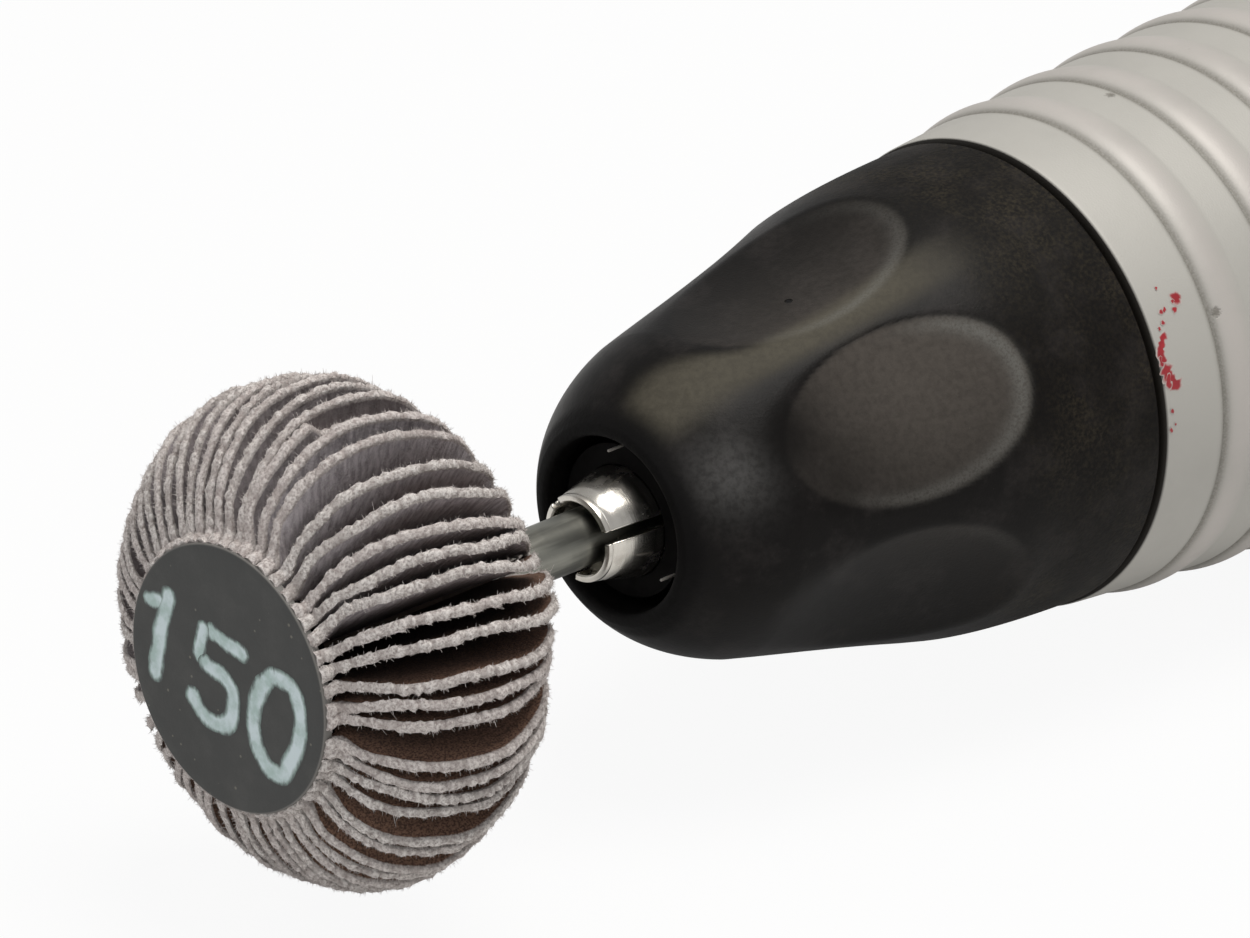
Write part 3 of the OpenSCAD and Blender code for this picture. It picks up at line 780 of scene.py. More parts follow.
@dataclass(frozen=True)
class Layout:
    """Stations along X and main radii, in millimetres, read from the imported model."""

    label_x: float
    label_back: float
    label_r: float
    flange_back: float
    core_r: float
    mouth_x: float
    grip_end: float
    collet_x: float
    collet_end: float
    collet_r: float
    head_x: float
    neck_x: float
    cap_x: float
    wheel_back: float
    wheel_r: float
    flat_z: float

    @classmethod
    def read(cls) -> "Layout":
        """Reads the stations.

        Returns:
            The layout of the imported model.
        """

        def low(node: str) -> Vector:
            """A node's lowest corner, in millimetres."""
            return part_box(node)[0] / MM

        def high(node: str) -> Vector:
            """A node's highest corner, in millimetres."""
            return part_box(node)[1] / MM

        return cls(
            label_x=low("label_disc").x,
            label_back=high("label_disc").x,
            label_r=high("label_disc").z,
            flange_back=high("front_flange").x,
            core_r=high("wheel_core").z,
            mouth_x=low("nose_grip").x,
            grip_end=high("nose_grip").x,
            collet_x=low("collet").x,
            collet_end=high("collet").x,
            collet_r=high("collet").z,
            head_x=low("spindle_nose").x,
            neck_x=low("ribbed_sleeve").x,
            cap_x=low("end_cap_seal").x,
            wheel_back=high("wheel_core").x,
            wheel_r=high("flap_pack").z,
            flat_z=low("end_cap").z,
        )


def arc(centre: tuple[float, float], radius: float, start: float, end: float, steps: int) -> Outline:
    """Points on an arc.

    Args:
        centre: The arc's centre.
        radius: Its radius.
        start: The first angle from the first axis, in degrees.
        end: The last angle.
        steps: The number of pieces.

    Returns:
        The points, with both ends.
    """
    turns = np.radians(np.linspace(start, end, steps + 1))
    return [(centre[0] + radius * math.cos(t), centre[1] + radius * math.sin(t)) for t in turns]


def bend(first: float, middle: float, last: float, share: float) -> float:
    """A point of a curve with one control value."""
    rest = 1 - share
    return rest * rest * first + 2 * share * rest * middle + share * share * last


def bend_outline(x: Sequence[float], r: Sequence[float], shares: Sequence[float]) -> Outline:
    """Points of a curve in the plane, from its three values along and across."""
    return [(bend(*x, share), bend(*r, share)) for share in shares]


def refine(outline: Outline, longest: float) -> Outline:
    """Adds points so that no side of an open outline is longer than a length.

    Args:
        outline: The points.
        longest: The longest side.

    Returns:
        The points with more between them.
    """
    fine: Outline = []
    for (x0, r0), (x1, r1) in zip(outline, outline[1:]):
        count = max(1, math.ceil(math.hypot(x1 - x0, r1 - r0) / longest))
        fine += [(x0 + (x1 - x0) * i / count, r0 + (r1 - r0) * i / count) for i in range(count)]
    return fine + [outline[-1]]


def round_corners(outline: Outline, radius: float, steps: int = 4) -> Outline:
    """Rounds every inner corner of an open outline.

    Args:
        outline: The points, as (x, radius).
        radius: The corner radius, made smaller beside a short side.
        steps: The number of pieces of a rounded corner.

    Returns:
        The rounded outline.
    """
    rounded: Outline = [outline[0]]
    for before, corner, after in zip(outline, outline[1:], outline[2:]):
        a, c, b = Vector(before), Vector(corner), Vector(after)
        reach = min(radius, (a - c).length / 2.2, (b - c).length / 2.2)
        start, end = c + (a - c).normalized() * reach, c + (b - c).normalized() * reach
        shares = [i / steps for i in range(steps + 1)]
        rounded += bend_outline((start.x, c.x, end.x), (start.y, c.y, end.y), shares)
    return rounded + [outline[-1]]


def turn_about_x(degrees: float) -> Matrix:
    """The matrix of a turn about the X axis."""
    return Matrix.Rotation(math.radians(degrees), 3, "X")


def revolve(outline: Outline, steps: int, closed: bool = True) -> BMesh:
    """Turns an outline about the X axis.

    Args:
        outline: The points, as (x, radius).
        steps: The number of pieces around, a multiple of the turned sectors.
        closed: Whether the last point joins the first, as on a ring.

    Returns:
        The turned mesh, with its poles closed.
    """
    mesh = bmesh.new()
    verts = [mesh.verts.new((x, 0, r)) for x, r in outline]
    ends = verts[1:] + verts[:1] if closed else verts[1:]
    edges = [mesh.edges.new(pair) for pair in zip(verts, ends)]
    sector, per_sector = math.tau / TURNED_SECTORS, steps // TURNED_SECTORS
    axle = {"cent": (0, 0, 0), "axis": (1, 0, 0)}
    bmesh.ops.spin(mesh, geom=verts + edges, angle=sector, steps=per_sector, **axle)
    whole = list(mesh.verts) + list(mesh.edges) + list(mesh.faces)
    others = {"angle": math.tau - sector, "steps": TURNED_SECTORS - 1, "use_duplicate": True}
    bmesh.ops.spin(mesh, geom=whole, **others, **axle)
    bmesh.ops.remove_doubles(mesh, verts=mesh.verts, dist=WELD)
    face_outwards(mesh)
    return mesh


def to_data(mesh: BMesh) -> Mesh:
    """Makes mesh data of an edit mesh.

    Args:
        mesh: The edit mesh, which is freed.

    Returns:
        The mesh data.
    """
    data = bpy.data.meshes.new("shape")
    mesh.to_mesh(data)
    mesh.free()
    return data


def add_data(mesh: BMesh, data: Mesh, count: int = 1) -> None:
    """Adds copies of mesh data to an edit mesh.

    Args:
        mesh: The edit mesh.
        data: The mesh data, which is removed.
        count: The number of copies.
    """
    for _ in range(count):
        mesh.from_mesh(data)
    bpy.data.meshes.remove(data)


def repeat_shape(mesh: BMesh, count: int) -> BMesh:
    """Copies a shape in place, so that each copy's points follow the last one's.

    Args:
        mesh: The shape, which is freed.
        count: The number of copies.

    Returns:
        The copies in one mesh.
    """
    copies = bmesh.new()
    add_data(copies, to_data(mesh), count)
    return copies


def thicken(mesh: BMesh, height: float, axis: int) -> None:
    """Makes a closed solid of flat faces by moving a copy of them.

    Args:
        mesh: The flat faces.
        height: How far the copy is moved.
        axis: The number of the axis that it is moved along.
    """
    far = bmesh.ops.extrude_face_region(mesh, geom=list(mesh.faces))["geom"]
    moved = [v for v in far if isinstance(v, BMVert)]
    bmesh.ops.translate(mesh, verts=moved, vec=tuple(height * (k == axis) for k in range(3)))


def slab(columns: int, rows: int) -> BMesh:
    """A flat grid of unit size with unit thickness, which is bent into a sheet.

    Args:
        columns: The number of pieces along X.
        rows: The number of pieces along Y.

    Returns:
        The closed mesh, from -0.5 to 0.5 along X and Y and from 0 to 1 along Z.
    """
    sheet = bmesh.new()
    bmesh.ops.create_grid(sheet, x_segments=columns, y_segments=rows, size=0.5)
    thicken(sheet, 1, 2)
    return sheet


def face_outwards(mesh: BMesh) -> None:
    """Turns the faces of closed solids outwards.

    Args:
        mesh: The solids, which all face the same way once their faces agree.
    """
    bmesh.ops.recalc_face_normals(mesh, faces=mesh.faces)
    if mesh.calc_volume(signed=True) < 0:
        bmesh.ops.reverse_faces(mesh, faces=mesh.faces)


def soften(mesh: BMesh, edges: Iterable[BMEdge], offset: float, segments: int) -> None:
    """Rounds edges.

    Args:
        mesh: The mesh.
        edges: The edges that are rounded.
        offset: How far the rounding reaches.
        segments: The number of faces across it.
    """
    look = {"affect": "EDGES", "profile": 0.5, "material": -1}
    bmesh.ops.bevel(mesh, geom=list(edges), offset=offset, segments=segments, **look)


def point_at(x: Any, radius: Any, angle: Any) -> np.ndarray:
    """Points at a station, a radius and an angle round the axis.

    Args:
        x: The stations.
        radius: The radii.
        angle: The angles, in degrees.

    Returns:
        An array of x, y and z.
    """
    turn = np.radians(angle)
    return np.stack(np.broadcast_arrays(x, -radius * np.sin(turn), radius * np.cos(turn)), axis=-1)


def mesh_points(data: Mesh) -> np.ndarray:
    """Reads a mesh's points.

    Args:
        data: The mesh data.

    Returns:
        An array of x, y and z.
    """
    flat = np.empty(len(data.vertices) * 3)
    data.vertices.foreach_get("co", flat)
    return flat.reshape(-1, 3)


def keep_values(data: Mesh, **marks: Any) -> None:
    """Keeps numbers for each point of a mesh, for its material.

    Args:
        data: The mesh.
        marks: One number for each point, or one for all, by the attribute's name.
    """
    for name, values in marks.items():
        spread = np.broadcast_to(values, len(data.vertices))
        layer = data.attributes.new(name, "FLOAT", "POINT")
        layer.data.foreach_set("value", np.ascontiguousarray(spread, dtype=np.float32))


def show(name: str, data: Any) -> Object:
    """Adds an object to the scene.

    Args:
        name: The object's name.
        data: Its mesh, light or camera.

    Returns:
        The object.
    """
    thing = bpy.data.objects.new(name, data)
    bpy.context.scene.collection.objects.link(thing)
    return thing


def unit(vectors: np.ndarray) -> np.ndarray:
    """Rows of vectors brought to length 1."""
    return vectors / np.linalg.norm(vectors, axis=1)[:, None]


def smooth_step(value: Any) -> np.ndarray:
    """An eased step from 0 to 1."""
    share = np.clip(value, 0, 1)
    return share * share * (3 - 2 * share)


def hill(value: Any) -> np.ndarray:
    """A bell curve of a distance, 1 in its middle."""
    return np.exp(-(value**2))


def wrap(angle: Any, period: float = 360.0) -> Any:
    """An angle brought to within half a period of zero."""
    return (angle + period / 2) % period - period / 2


@dataclass
class Piece:
    """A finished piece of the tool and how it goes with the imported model."""

    name: str
    body: str
    slot: str
    finish: Finish
    replaces: tuple[str, ...] = ()
    sharp_angle: float = 38.0

    def make(self, shape: BMesh | Mesh) -> Object:
        """Makes the object from a mesh in millimetres.

        Args:
            shape: Mesh data, or an edit mesh, which is freed.

        Returns:
            The object, riding on its body.
        """
        data = to_data(shape) if isinstance(shape, BMesh) else shape
        data.name = self.name
        data.transform(Matrix.Scale(MM, 4))
        data.shade_smooth()
        data.set_sharp_from_angle(angle=math.radians(self.sharp_angle))
        data.materials.append(self.finish.material())
        piece = show(self.name, data)
        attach(piece, self.body)
        if self.replaces:
            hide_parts(*self.replaces)
        LOG.info("%s: %d faces on %s", self.name, len(data.polygons), self.body)
        return piece


# ---- Painted strokes ----


@dataclass(frozen=True)
class Stroke:
    """One brush stroke: a path through a few points, as wide as the brush."""

    points: tuple[tuple[float, float], ...]
    width: float = 0.95
    closed: bool = False

    def path(self, steps: int) -> np.ndarray:
        """Points along a smooth curve through the stroke's points.

        Args:
            steps: The number of pieces.

        Returns:
            The points, evenly spaced.
        """
        points = np.array(self.points, float)
        if self.closed:
            around = np.vstack([points[-1], points, points[:2]])
        else:
            around = np.vstack([2 * points[0] - points[1], points, 2 * points[-1] - points[-2]])
        curve = []
        for a, b, c, d in zip(around, around[1:], around[2:], around[3:]):
            slope, bow, twist = c - a, 2 * a - 5 * b + 4 * c - d, 3 * b - a - 3 * c + d
            shares = np.linspace(0, 1, 12, endpoint=False)
            curve += [0.5 * (2 * b + slope * t + bow * t**2 + twist * t**3) for t in shares]
        curve = np.array([*curve, around[-2]])
        along = np.concatenate([[0], np.cumsum(np.linalg.norm(np.diff(curve, axis=0), axis=1))])
        even = np.linspace(0, along[-1], steps + 1)
        return np.stack([np.interp(even, along, curve[:, k]) for k in (0, 1)], axis=1)


def between(rows: np.ndarray, share: np.ndarray) -> np.ndarray:
    """Reads a table of pairs between its rows.

    Args:
        rows: The table.
        share: Shares of its length.

    Returns:
        A row for each share.
    """
    spot, own = share * (len(rows) - 1), np.arange(len(rows))
    return np.stack([np.interp(spot, own, rows[:, k]) for k in (0, 1)], axis=1)


@dataclass
class PaintLayer:
    """Brush strokes laid on a surface, as thin pieces with ragged edges."""

    strokes: Sequence[Stroke]
    onto: Callable[[np.ndarray, np.ndarray], np.ndarray]
    ragged: float = 0.08
    ragged_per_mm: float = 1.8
    thickness: float = 0.02
    stroke_lift: float = 0.006
    ground_lift: float = 0.004
    end_run: float = 0.45
    steps_per_mm: float = 9.0
    rows: int = 8
    seed: int = 3

    def mesh(self) -> Mesh:
        """Makes all the strokes as one mesh.

        Returns:
            The mesh, with the attribute "inside" for its paint.
        """
        random = np.random.default_rng(self.seed)
        whole = bmesh.new()
        inside: list[np.ndarray] = []
        for level, stroke in enumerate(self.strokes):
            data, depth = self._stroke_mesh(stroke, level, random)
            inside.append(depth)
            add_data(whole, data)
        face_outwards(whole)
        data = to_data(whole)
        keep_values(data, inside=np.concatenate(inside))
        return data

    def _stroke_mesh(self, stroke: Stroke, level: int, random: np.random.Generator) -> tuple[Mesh, np.ndarray]:
        """Makes one stroke.

        Args:
            stroke: The stroke.
            level: Its number, which lifts it a little over the ones before.
            random: The source of its ragged edge.

        Returns:
            The mesh, and how far inside the stroke each point lies, from 0 to 1.
        """
        length = float(np.linalg.norm(np.diff(np.array(stroke.points), axis=0), axis=1).sum())
        steps = max(8, round(length * self.steps_per_mm))
        data = to_data(slab(steps, self.rows))
        flat = mesh_points(data)
        along, across, lift = flat[:, 0] + 0.5, 2 * flat[:, 1], flat[:, 2]
        path = stroke.path(steps)
        heading = unit(np.gradient(path, axis=0))
        left = np.stack([-heading[:, 1], heading[:, 0]], axis=1)
        knots = max(4, round(length * self.ragged_per_mm))
        rough = random.normal(0, self.ragged, (2, knots + 1))
        edge = np.where(across > 0, *(np.interp(along * knots, np.arange(knots + 1), row) for row in rough))
        end: Any = 1.0
        if not stroke.closed:
            end = np.minimum(1, np.minimum(along, 1 - along) * length / (self.end_run * stroke.width))
        reach = stroke.width / 2 * (1 + edge) * np.sqrt(np.clip(1 - (1 - end) ** 2, 0.02, 1))
        spot = between(path, along) + between(left, along) * (across * reach)[:, None]
        height = self.stroke_lift * level + self.thickness * lift * (1 - across**4)
        moved = self.onto(spot, height + self.ground_lift)
        data.vertices.foreach_set("co", moved.ravel())
        return data, (1 - np.abs(across)) * np.minimum(1, end)


# ---- Flap wheel ----


@dataclass
class FlapWheel:
    """The flap wheel: abrasive cloth flaps round a core, a label in front and a shank."""

    layout: Layout
    flap_count: int = 56
    first_angle: float = -17.5
    first_gaps: tuple[float, ...] = (
        *(6.0, 5.8, 7.2, 3.0, 7.0, 6.3, 10.5, 7.7, 7.7, 5.6, 5.7, 7.7),
        *(6.6, 9.2, 5.5, 5.2, 11.3, 4.8, 4.2, 6.0, 9.5, 5.0, 9.5),
    )
    first_root: float = -13.0
    twist: float = 9.0
    twist_jitter: float = 3.0
    untwisted_at: float = 83.5
    twist_reach: float = 112.5
    twist_pitch: float = 8.5
    gap_jitter: float = 0.2
    power: float = 2.3
    rim_start: float = -61.6
    rim_end: float = 72.7
    front_run: float = 15.0
    crown_shift: float = 0.1
    body_half: float = 0.18
    fray_half: float = 0.09
    fray_depth: float = 0.42
    tuft_pitch: float = 0.27
    rim_steps: int = 320
    depth_rows: int = 7
    flaps_per_piece: int = 14
    fibre_count: int = 20480
    fibre_rows: int = 128
    fibre_r: tuple[float, float] = (0.016, 0.006)
    fibre_len: tuple[float, float] = (0.05, 0.28)
    long_share: float = 0.003
    long_times: float = 3.5
    long_ends: tuple[int, ...] = (12, 13)
    chipped: tuple[int, ...] = (4,)
    chip_depth: float = 1.1
    # Flaps with wide gaps, which keep their backing free of painted shade.
    unshaded_flaps: tuple[int, int] = (5, 12)
    worn_from: float = 70.0
    worn_to: float = 150.0
    worn_depth: tuple[float, float] = (0.38, 0.6)
    label_turn: float = 15.7
    seed: int = 11

    def __post_init__(self) -> None:
        """Works out the flaps' outline and each flap's own shape."""
        self._outline_rim()
        self.random = np.random.default_rng(self.seed)
        count = self.flap_count
        self.angles = self._angles()
        knots = math.ceil(self.rim_length / self.tuft_pitch) + 4
        self.tuft_height = self.random.random((count, knots))
        self.tuft_side = self.random.uniform(-1, 1, (count, knots))
        self.tuft_phase = self.random.random(count)
        self.wave = self.random.uniform(-1, 1, (count, 4))
        around = wrap(self.angles - self.untwisted_at)
        seen = np.abs(around) < self.twist_reach
        turned = -self.twist * np.sin(np.radians(180 / self.twist_reach * around))
        self.turn = np.where(seen, turned, self.random.normal(0, self.twist_jitter, count))
        self.roots = self.first_root + np.arange(count) * 360 / count
        self.reach = self.random.uniform(-0.22, 0.06, count)
        self.rear_reach = self.random.uniform(-0.35, 0.35, count)
        self.rear_reach[list(self.long_ends)] = 0.9
        self.tone = self.random.random(count)
        rising, falling = (self.angles - self.worn_from) / 22, (self.angles - self.worn_to) / 30
        self.worn = smooth_step(rising) * (1 - smooth_step(falling))
        # Painted shade on the backing of packed flaps, random from flap to flap.
        self.grime = self.random.uniform(0.6, 1.0, count)
        self.grime[slice(*self.unshaded_flaps)] = 0.05

    def _outline_rim(self) -> None:
        """Works out the flaps' outer edge from the label to the rear, in even steps."""
        turn = np.radians(np.linspace(self.rim_start, self.rim_end, 240))
        share = np.sin(turn)
        half = (self.front_run + self.crown_shift) / 2
        x = self.layout.label_x + half - self.crown_shift + share * half
        r = self.layout.wheel_r * (1 - np.abs(share) ** self.power) ** (1 / self.power)
        x = np.concatenate([[self.layout.label_x + 0.1, self.layout.label_x + 0.35], x])
        r = np.concatenate([[self.layout.label_r + 0.03, self.layout.label_r + 0.22], r])
        along = np.concatenate([[0], np.cumsum(np.hypot(np.diff(x), np.diff(r)))])
        even = np.linspace(0, along[-1], 600)
        self.rim_length = float(along[-1])
        self.rim_x, self.rim_r = np.interp(even, along, x), np.interp(even, along, r)

    def _angles(self) -> np.ndarray:
        """The angle of each flap: a few wide and narrow gaps, then even ones with some jitter.

        Returns:
            One angle for each flap, in degrees.
        """
        rest = self.flap_count - len(self.first_gaps)
        gaps = 1 + self.random.uniform(-self.gap_jitter, self.gap_jitter, rest)
        gaps *= (360 - sum(self.first_gaps)) / gaps.sum()
        return self.first_angle + np.concatenate([[0], np.cumsum([*self.first_gaps, *gaps])[:-1]])

    def build(self) -> None:
        """Builds the flaps, their loose fibres, the label, its numerals and the shank."""
        for start in range(0, self.flap_count, self.flaps_per_piece):
            self._flaps(range(start, min(start + self.flaps_per_piece, self.flap_count)))
        self._fibres("loose_fibres", 0.0)
        self._fibres("side_fibres", 1.3)
        self._label()
        self._shank()

    def _sheet(self) -> BMesh:
        """A flat flap in a unit box: along its rim, from core to rim, and across its thickness.

        Returns:
            The closed mesh.
        """
        sheet = slab(self.rim_steps, self.depth_rows)

        def crosses_rim(edge: BMEdge) -> bool:
            """Whether an edge goes across the thickness at the rim."""
            first, second = (v.co for v in edge.verts)
            return min(first.y, second.y) > 0.499 and abs(first.z - second.z) > 0.5

        crossing = [e for e in sheet.edges if crosses_rim(e)]
        bmesh.ops.subdivide_edges(sheet, edges=crossing, cuts=3, use_grid_fill=True)
        face_outwards(sheet)
        return sheet

    def _rim_at(self, flap: np.ndarray, along: np.ndarray) -> tuple[np.ndarray, np.ndarray]:
        """Where the rims of the flaps run, with their wear, their chips and their long ends.

        Args:
            flap: The number of each point's flap.
            along: From 0 at the label to 1 at the rear.

        Returns:
            The station and the radius of each point.
        """
        steps = np.linspace(0, 1, len(self.rim_x))
        x, r = np.interp(along, steps, self.rim_x), np.interp(along, steps, self.rim_r)
        rear = smooth_step((along - 0.62) / 0.25)
        crown = smooth_step(along / 0.3)
        rearmost = rear * (1 - smooth_step((along - 0.93) / 0.07))
        r = r + crown * self.reach[flap] + rearmost * self.rear_reach[flap]
        from_label = x - self.layout.label_x
        whole, behind = self.worn_depth
        worn = whole * smooth_step((from_label - 2) / 3) + behind * smooth_step((from_label - 6) / 4)
        chip = np.isin(flap, self.chipped) * smooth_step((from_label - 4.6) / 1.2)
        return x, r - self.worn[flap] * worn - self.chip_depth * chip

    def place_on_flap(
        self, flap: np.ndarray, along: np.ndarray, depth: np.ndarray, across: np.ndarray
    ) -> tuple[np.ndarray, np.ndarray, np.ndarray]:
        """Bends points of the flat sheet into their flap.

        Args:
            flap: The number of each point's flap.
            along: From 0 at the label to 1 at the rear.
            depth: From 0 at the core to 1 at the rim.
            across: From -1 on the grit to 1 on the backing.

        Returns:
            The places, how near each is to the frayed rim, and how full its tuft is.
        """
        x_rim, r_rim = self._rim_at(flap, along)
        core_x = self.layout.flange_back + 0.15
        x_core = core_x + along * (self.layout.wheel_back - core_x)
        r_core = self.layout.core_r + 0.05
        bow = 1 + 7 * (1 - smooth_step(along / 0.12))
        x = x_core + (x_rim - x_core) * depth**bow
        r = r_core + (r_rim - r_core) * depth
        gap = (1 - depth) * np.hypot(x_rim - x_core, r_rim - r_core)
        near = np.clip(1 - gap / self.fray_depth, 0, 1) ** 1.5
        spot = along * self.rim_length / self.tuft_pitch + self.tuft_phase[flap]
        knot = np.floor(spot).astype(int)
        share = smooth_step(spot - knot)
        height, side = (
            table[flap, knot] * (1 - share) + table[flap, knot + 1] * share
            for table in (self.tuft_height, self.tuft_side)
        )
        crowd = np.clip(r / 9.5, 0.84, 1) * (1 + 0.55 * (1 - smooth_step(along / 0.1)))
        half = crowd * (self.body_half + near * (self.fray_half + 0.1 * (height - 0.4)))
        wave = self.wave[flap].T
        wander = sum(
            wave[k] * np.sin(math.tau * ((0.8 + 0.9 * k) * along + wave[(k + 1) % 4])) for k in range(4)
        )
        shift = crowd * (0.1 * wander * depth**2 + near * 0.06 * side)
        r = r + near * ((0.02 + 0.16 * height) * (1 - 0.5 * across**2) - 0.13 * across**2)
        from_middle = np.clip((x - self.layout.label_x - 5) / self.twist_pitch, -0.55, 0.6)
        rim_angle = self.angles[flap] + self.turn[flap] * from_middle
        spread = depth**1.2 * (0.5 + 0.5 * smooth_step(along / 0.13))
        angle = self.roots[flap] + (rim_angle - self.roots[flap]) * spread
        angle = angle + np.degrees((shift + across * half) / r)
        return point_at(x, r, angle), near, height

    def _flaps(self, numbers: range) -> None:
        """Builds a few neighbouring flaps as one piece.

        Args:
            numbers: The flaps' numbers.
        """
        sheet = self._sheet()
        count = len(sheet.verts)
        data = to_data(repeat_shape(sheet, len(numbers)))
        flat = mesh_points(data)
        flap = np.repeat(np.array(numbers), count)
        along, across = flat[:, 0] + 0.5, 2 * flat[:, 2] - 1
        depth = 1 - (0.5 - flat[:, 1]).clip(0, 1) ** 2.2
        places, near, height = self.place_on_flap(flap, along, depth, across)
        data.vertices.foreach_set("co", places.ravel())
        keep_values(data, rim=near, side=across / 2 + 0.5, tuft=height)
        keep_values(data, flap=self.tone[flap], depth=depth, grime=self.grime[flap])
        outward = bmesh.new()
        outward.from_mesh(data)
        face_outwards(outward)
        outward.to_mesh(data)
        outward.free()
        name = f"flaps_{numbers[0] // self.flaps_per_piece + 1}"
        piece = Piece(name, "wheel_tool", "abrasive_cloth", Surface.CLOTH.value, ("flap_pack",), sharp_angle=70)
        piece.make(data)

    def _fibres(self, name: str, sideways: float) -> None:
        """Builds loose fibres that stand out of the flaps' rims.

        Args:
            name: The piece's name.
            sideways: How far the fibres hang over the sides of the rims, 0 for not at all.
        """
        count = self.fibre_count
        flap = self.random.integers(0, self.flap_count, count)
        along = self.random.random(count)
        across = self.random.uniform(-1, 1, count)
        if sideways:
            across = np.sign(across) * (0.8 + 0.2 * np.abs(across))
        roots, _, _ = self.place_on_flap(flap, along, np.ones(count), across)
        lengths = self.random.gamma(2.4, 0.048, count).clip(*self.fibre_len)
        lengths[self.random.random(count) < self.long_share] *= self.long_times
        tilt = self.random.normal(0, 0.7, (count, 3))
        base, tip = self.fibre_r
        mesh = bmesh.new()
        bmesh.ops.create_cone(mesh, cap_ends=True, segments=3, radius1=base, radius2=tip, depth=1)
        bmesh.ops.translate(mesh, verts=mesh.verts, vec=(0, 0, 0.45))
        corners = len(mesh.verts)
        data = to_data(repeat_shape(repeat_shape(mesh, self.fibre_rows), count // self.fibre_rows))
        points = mesh_points(data).reshape(-1, corners, 3)
        centre = self.layout.label_x + self.front_run / 2
        outward = unit(roots * (0.8, 1, 1) - (0.8 * centre, 0, 0))
        round_axis = np.cross(outward, (-1.0, 0.0, 0.0))
        heading = unit(outward + 0.6 * tilt + sideways * round_axis * across[:, None])
        width = unit(np.cross(heading, (0.0, 0.31, 0.95)))
        axes = np.stack([width, np.cross(heading, width), heading * lengths[:, None]], axis=1)
        placed = np.einsum("fvk,fkd->fvd", points, axes) + roots[:, None, :]
        data.vertices.foreach_set("co", placed.ravel())
        keep_values(data, rim=1.0, side=1.0, tuft=0.8, flap=0.5, depth=1.0, grime=0.0)
        Piece(name, "wheel_tool", "abrasive_cloth", Surface.CLOTH.value).make(data)

    def _label(self) -> None:
        """Builds the label and its painted numerals."""
        front, back, radius = self.layout.label_x, self.layout.label_back, self.layout.label_r
        face = refine([(front, 0), (front, radius - 0.12)], 0.6)
        outline = face + [(front + 0.03, radius - 0.04), (front + 0.1, radius), (back, radius), (back, 0)]
        data = to_data(revolve(outline, 128, closed=False))
        points = mesh_points(data)
        reach = np.hypot(points[:, 1], points[:, 2])
        keep_values(data, edge=(reach > radius - 0.1) * 0.8)
        Piece("label_card", "wheel_tool", "label", Surface.LABEL.value, ("label_disc",)).make(data)
        paint = PaintLayer(NUMERALS, self._onto_label)
        Piece("label_numerals", "wheel_tool", "label", Surface.NUMERAL_PAINT.value).make(paint.mesh())

    def _onto_label(self, spot: np.ndarray, height: np.ndarray) -> np.ndarray:
        """Lays points of the numerals on the turned label.

        Args:
            spot: The points, to the right and up as seen from the front.
            height: How far they stand off the label.

        Returns:
            The places.
        """
        turn = math.radians(self.label_turn)
        right = spot[:, 0] * math.cos(turn) + spot[:, 1] * math.sin(turn)
        up = spot[:, 1] * math.cos(turn) - spot[:, 0] * math.sin(turn)
        lift = np.maximum(height, -0.3) * 0.3
        return np.stack([self.layout.label_x - lift + 0.0005, -right, up], axis=1)

    def _shank(self) -> None:
        """Builds the steel shank between the wheel and the collet."""
        low, high = (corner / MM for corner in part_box("mandrel"))
        outline = round_corners([(low.x, 0), (low.x, high.z), (high.x, high.z), (high.x, 0)], 0.25)
        mesh = revolve(refine(outline, 1.2), 64, closed=False)
        Piece("wheel_shank", "wheel_tool", "steel", Surface.SHANK.value, ("mandrel",)).make(mesh)


NUMERALS = (
    Stroke(((-6.6, 0.8), (-5.9, 0.95), (-5.15, 1.5)), 1.0),
    Stroke(((-4.85, 2.4), (-4.95, 0.7), (-4.9, -1.2), (-4.7, -3.3)), 1.15),
    Stroke(((1.1, 2.05), (-0.4, 1.85), (-1.35, 1.8), (-2.15, 1.95)), 1.0),
    Stroke(((-2.2, 2.1), (-2.25, 0.8), (-2.2, -0.4)), 0.95),
    Stroke(
        (
            *((-2.15, -0.2), (-1.3, -0.1), (-0.2, -0.05), (0.6, -0.65), (0.8, -1.8)),
            *((0.35, -2.65), (-0.7, -2.95), (-1.65, -2.6), (-2.45, -2.0)),
        ),
        1.1,
    ),
    Stroke(
        (
            *((2.95, 2.15), (4.25, 2.25), (5.1, 1.3), (5.35, -0.3), (5.15, -1.75), (4.75, -2.75)),
            *((3.7, -2.9), (2.7, -2.15), (2.2, -0.9), (2.2, 0.55), (2.5, 1.6)),
        ),
        1.12,
        closed=True,
    ),
)


# ---- Collet ----


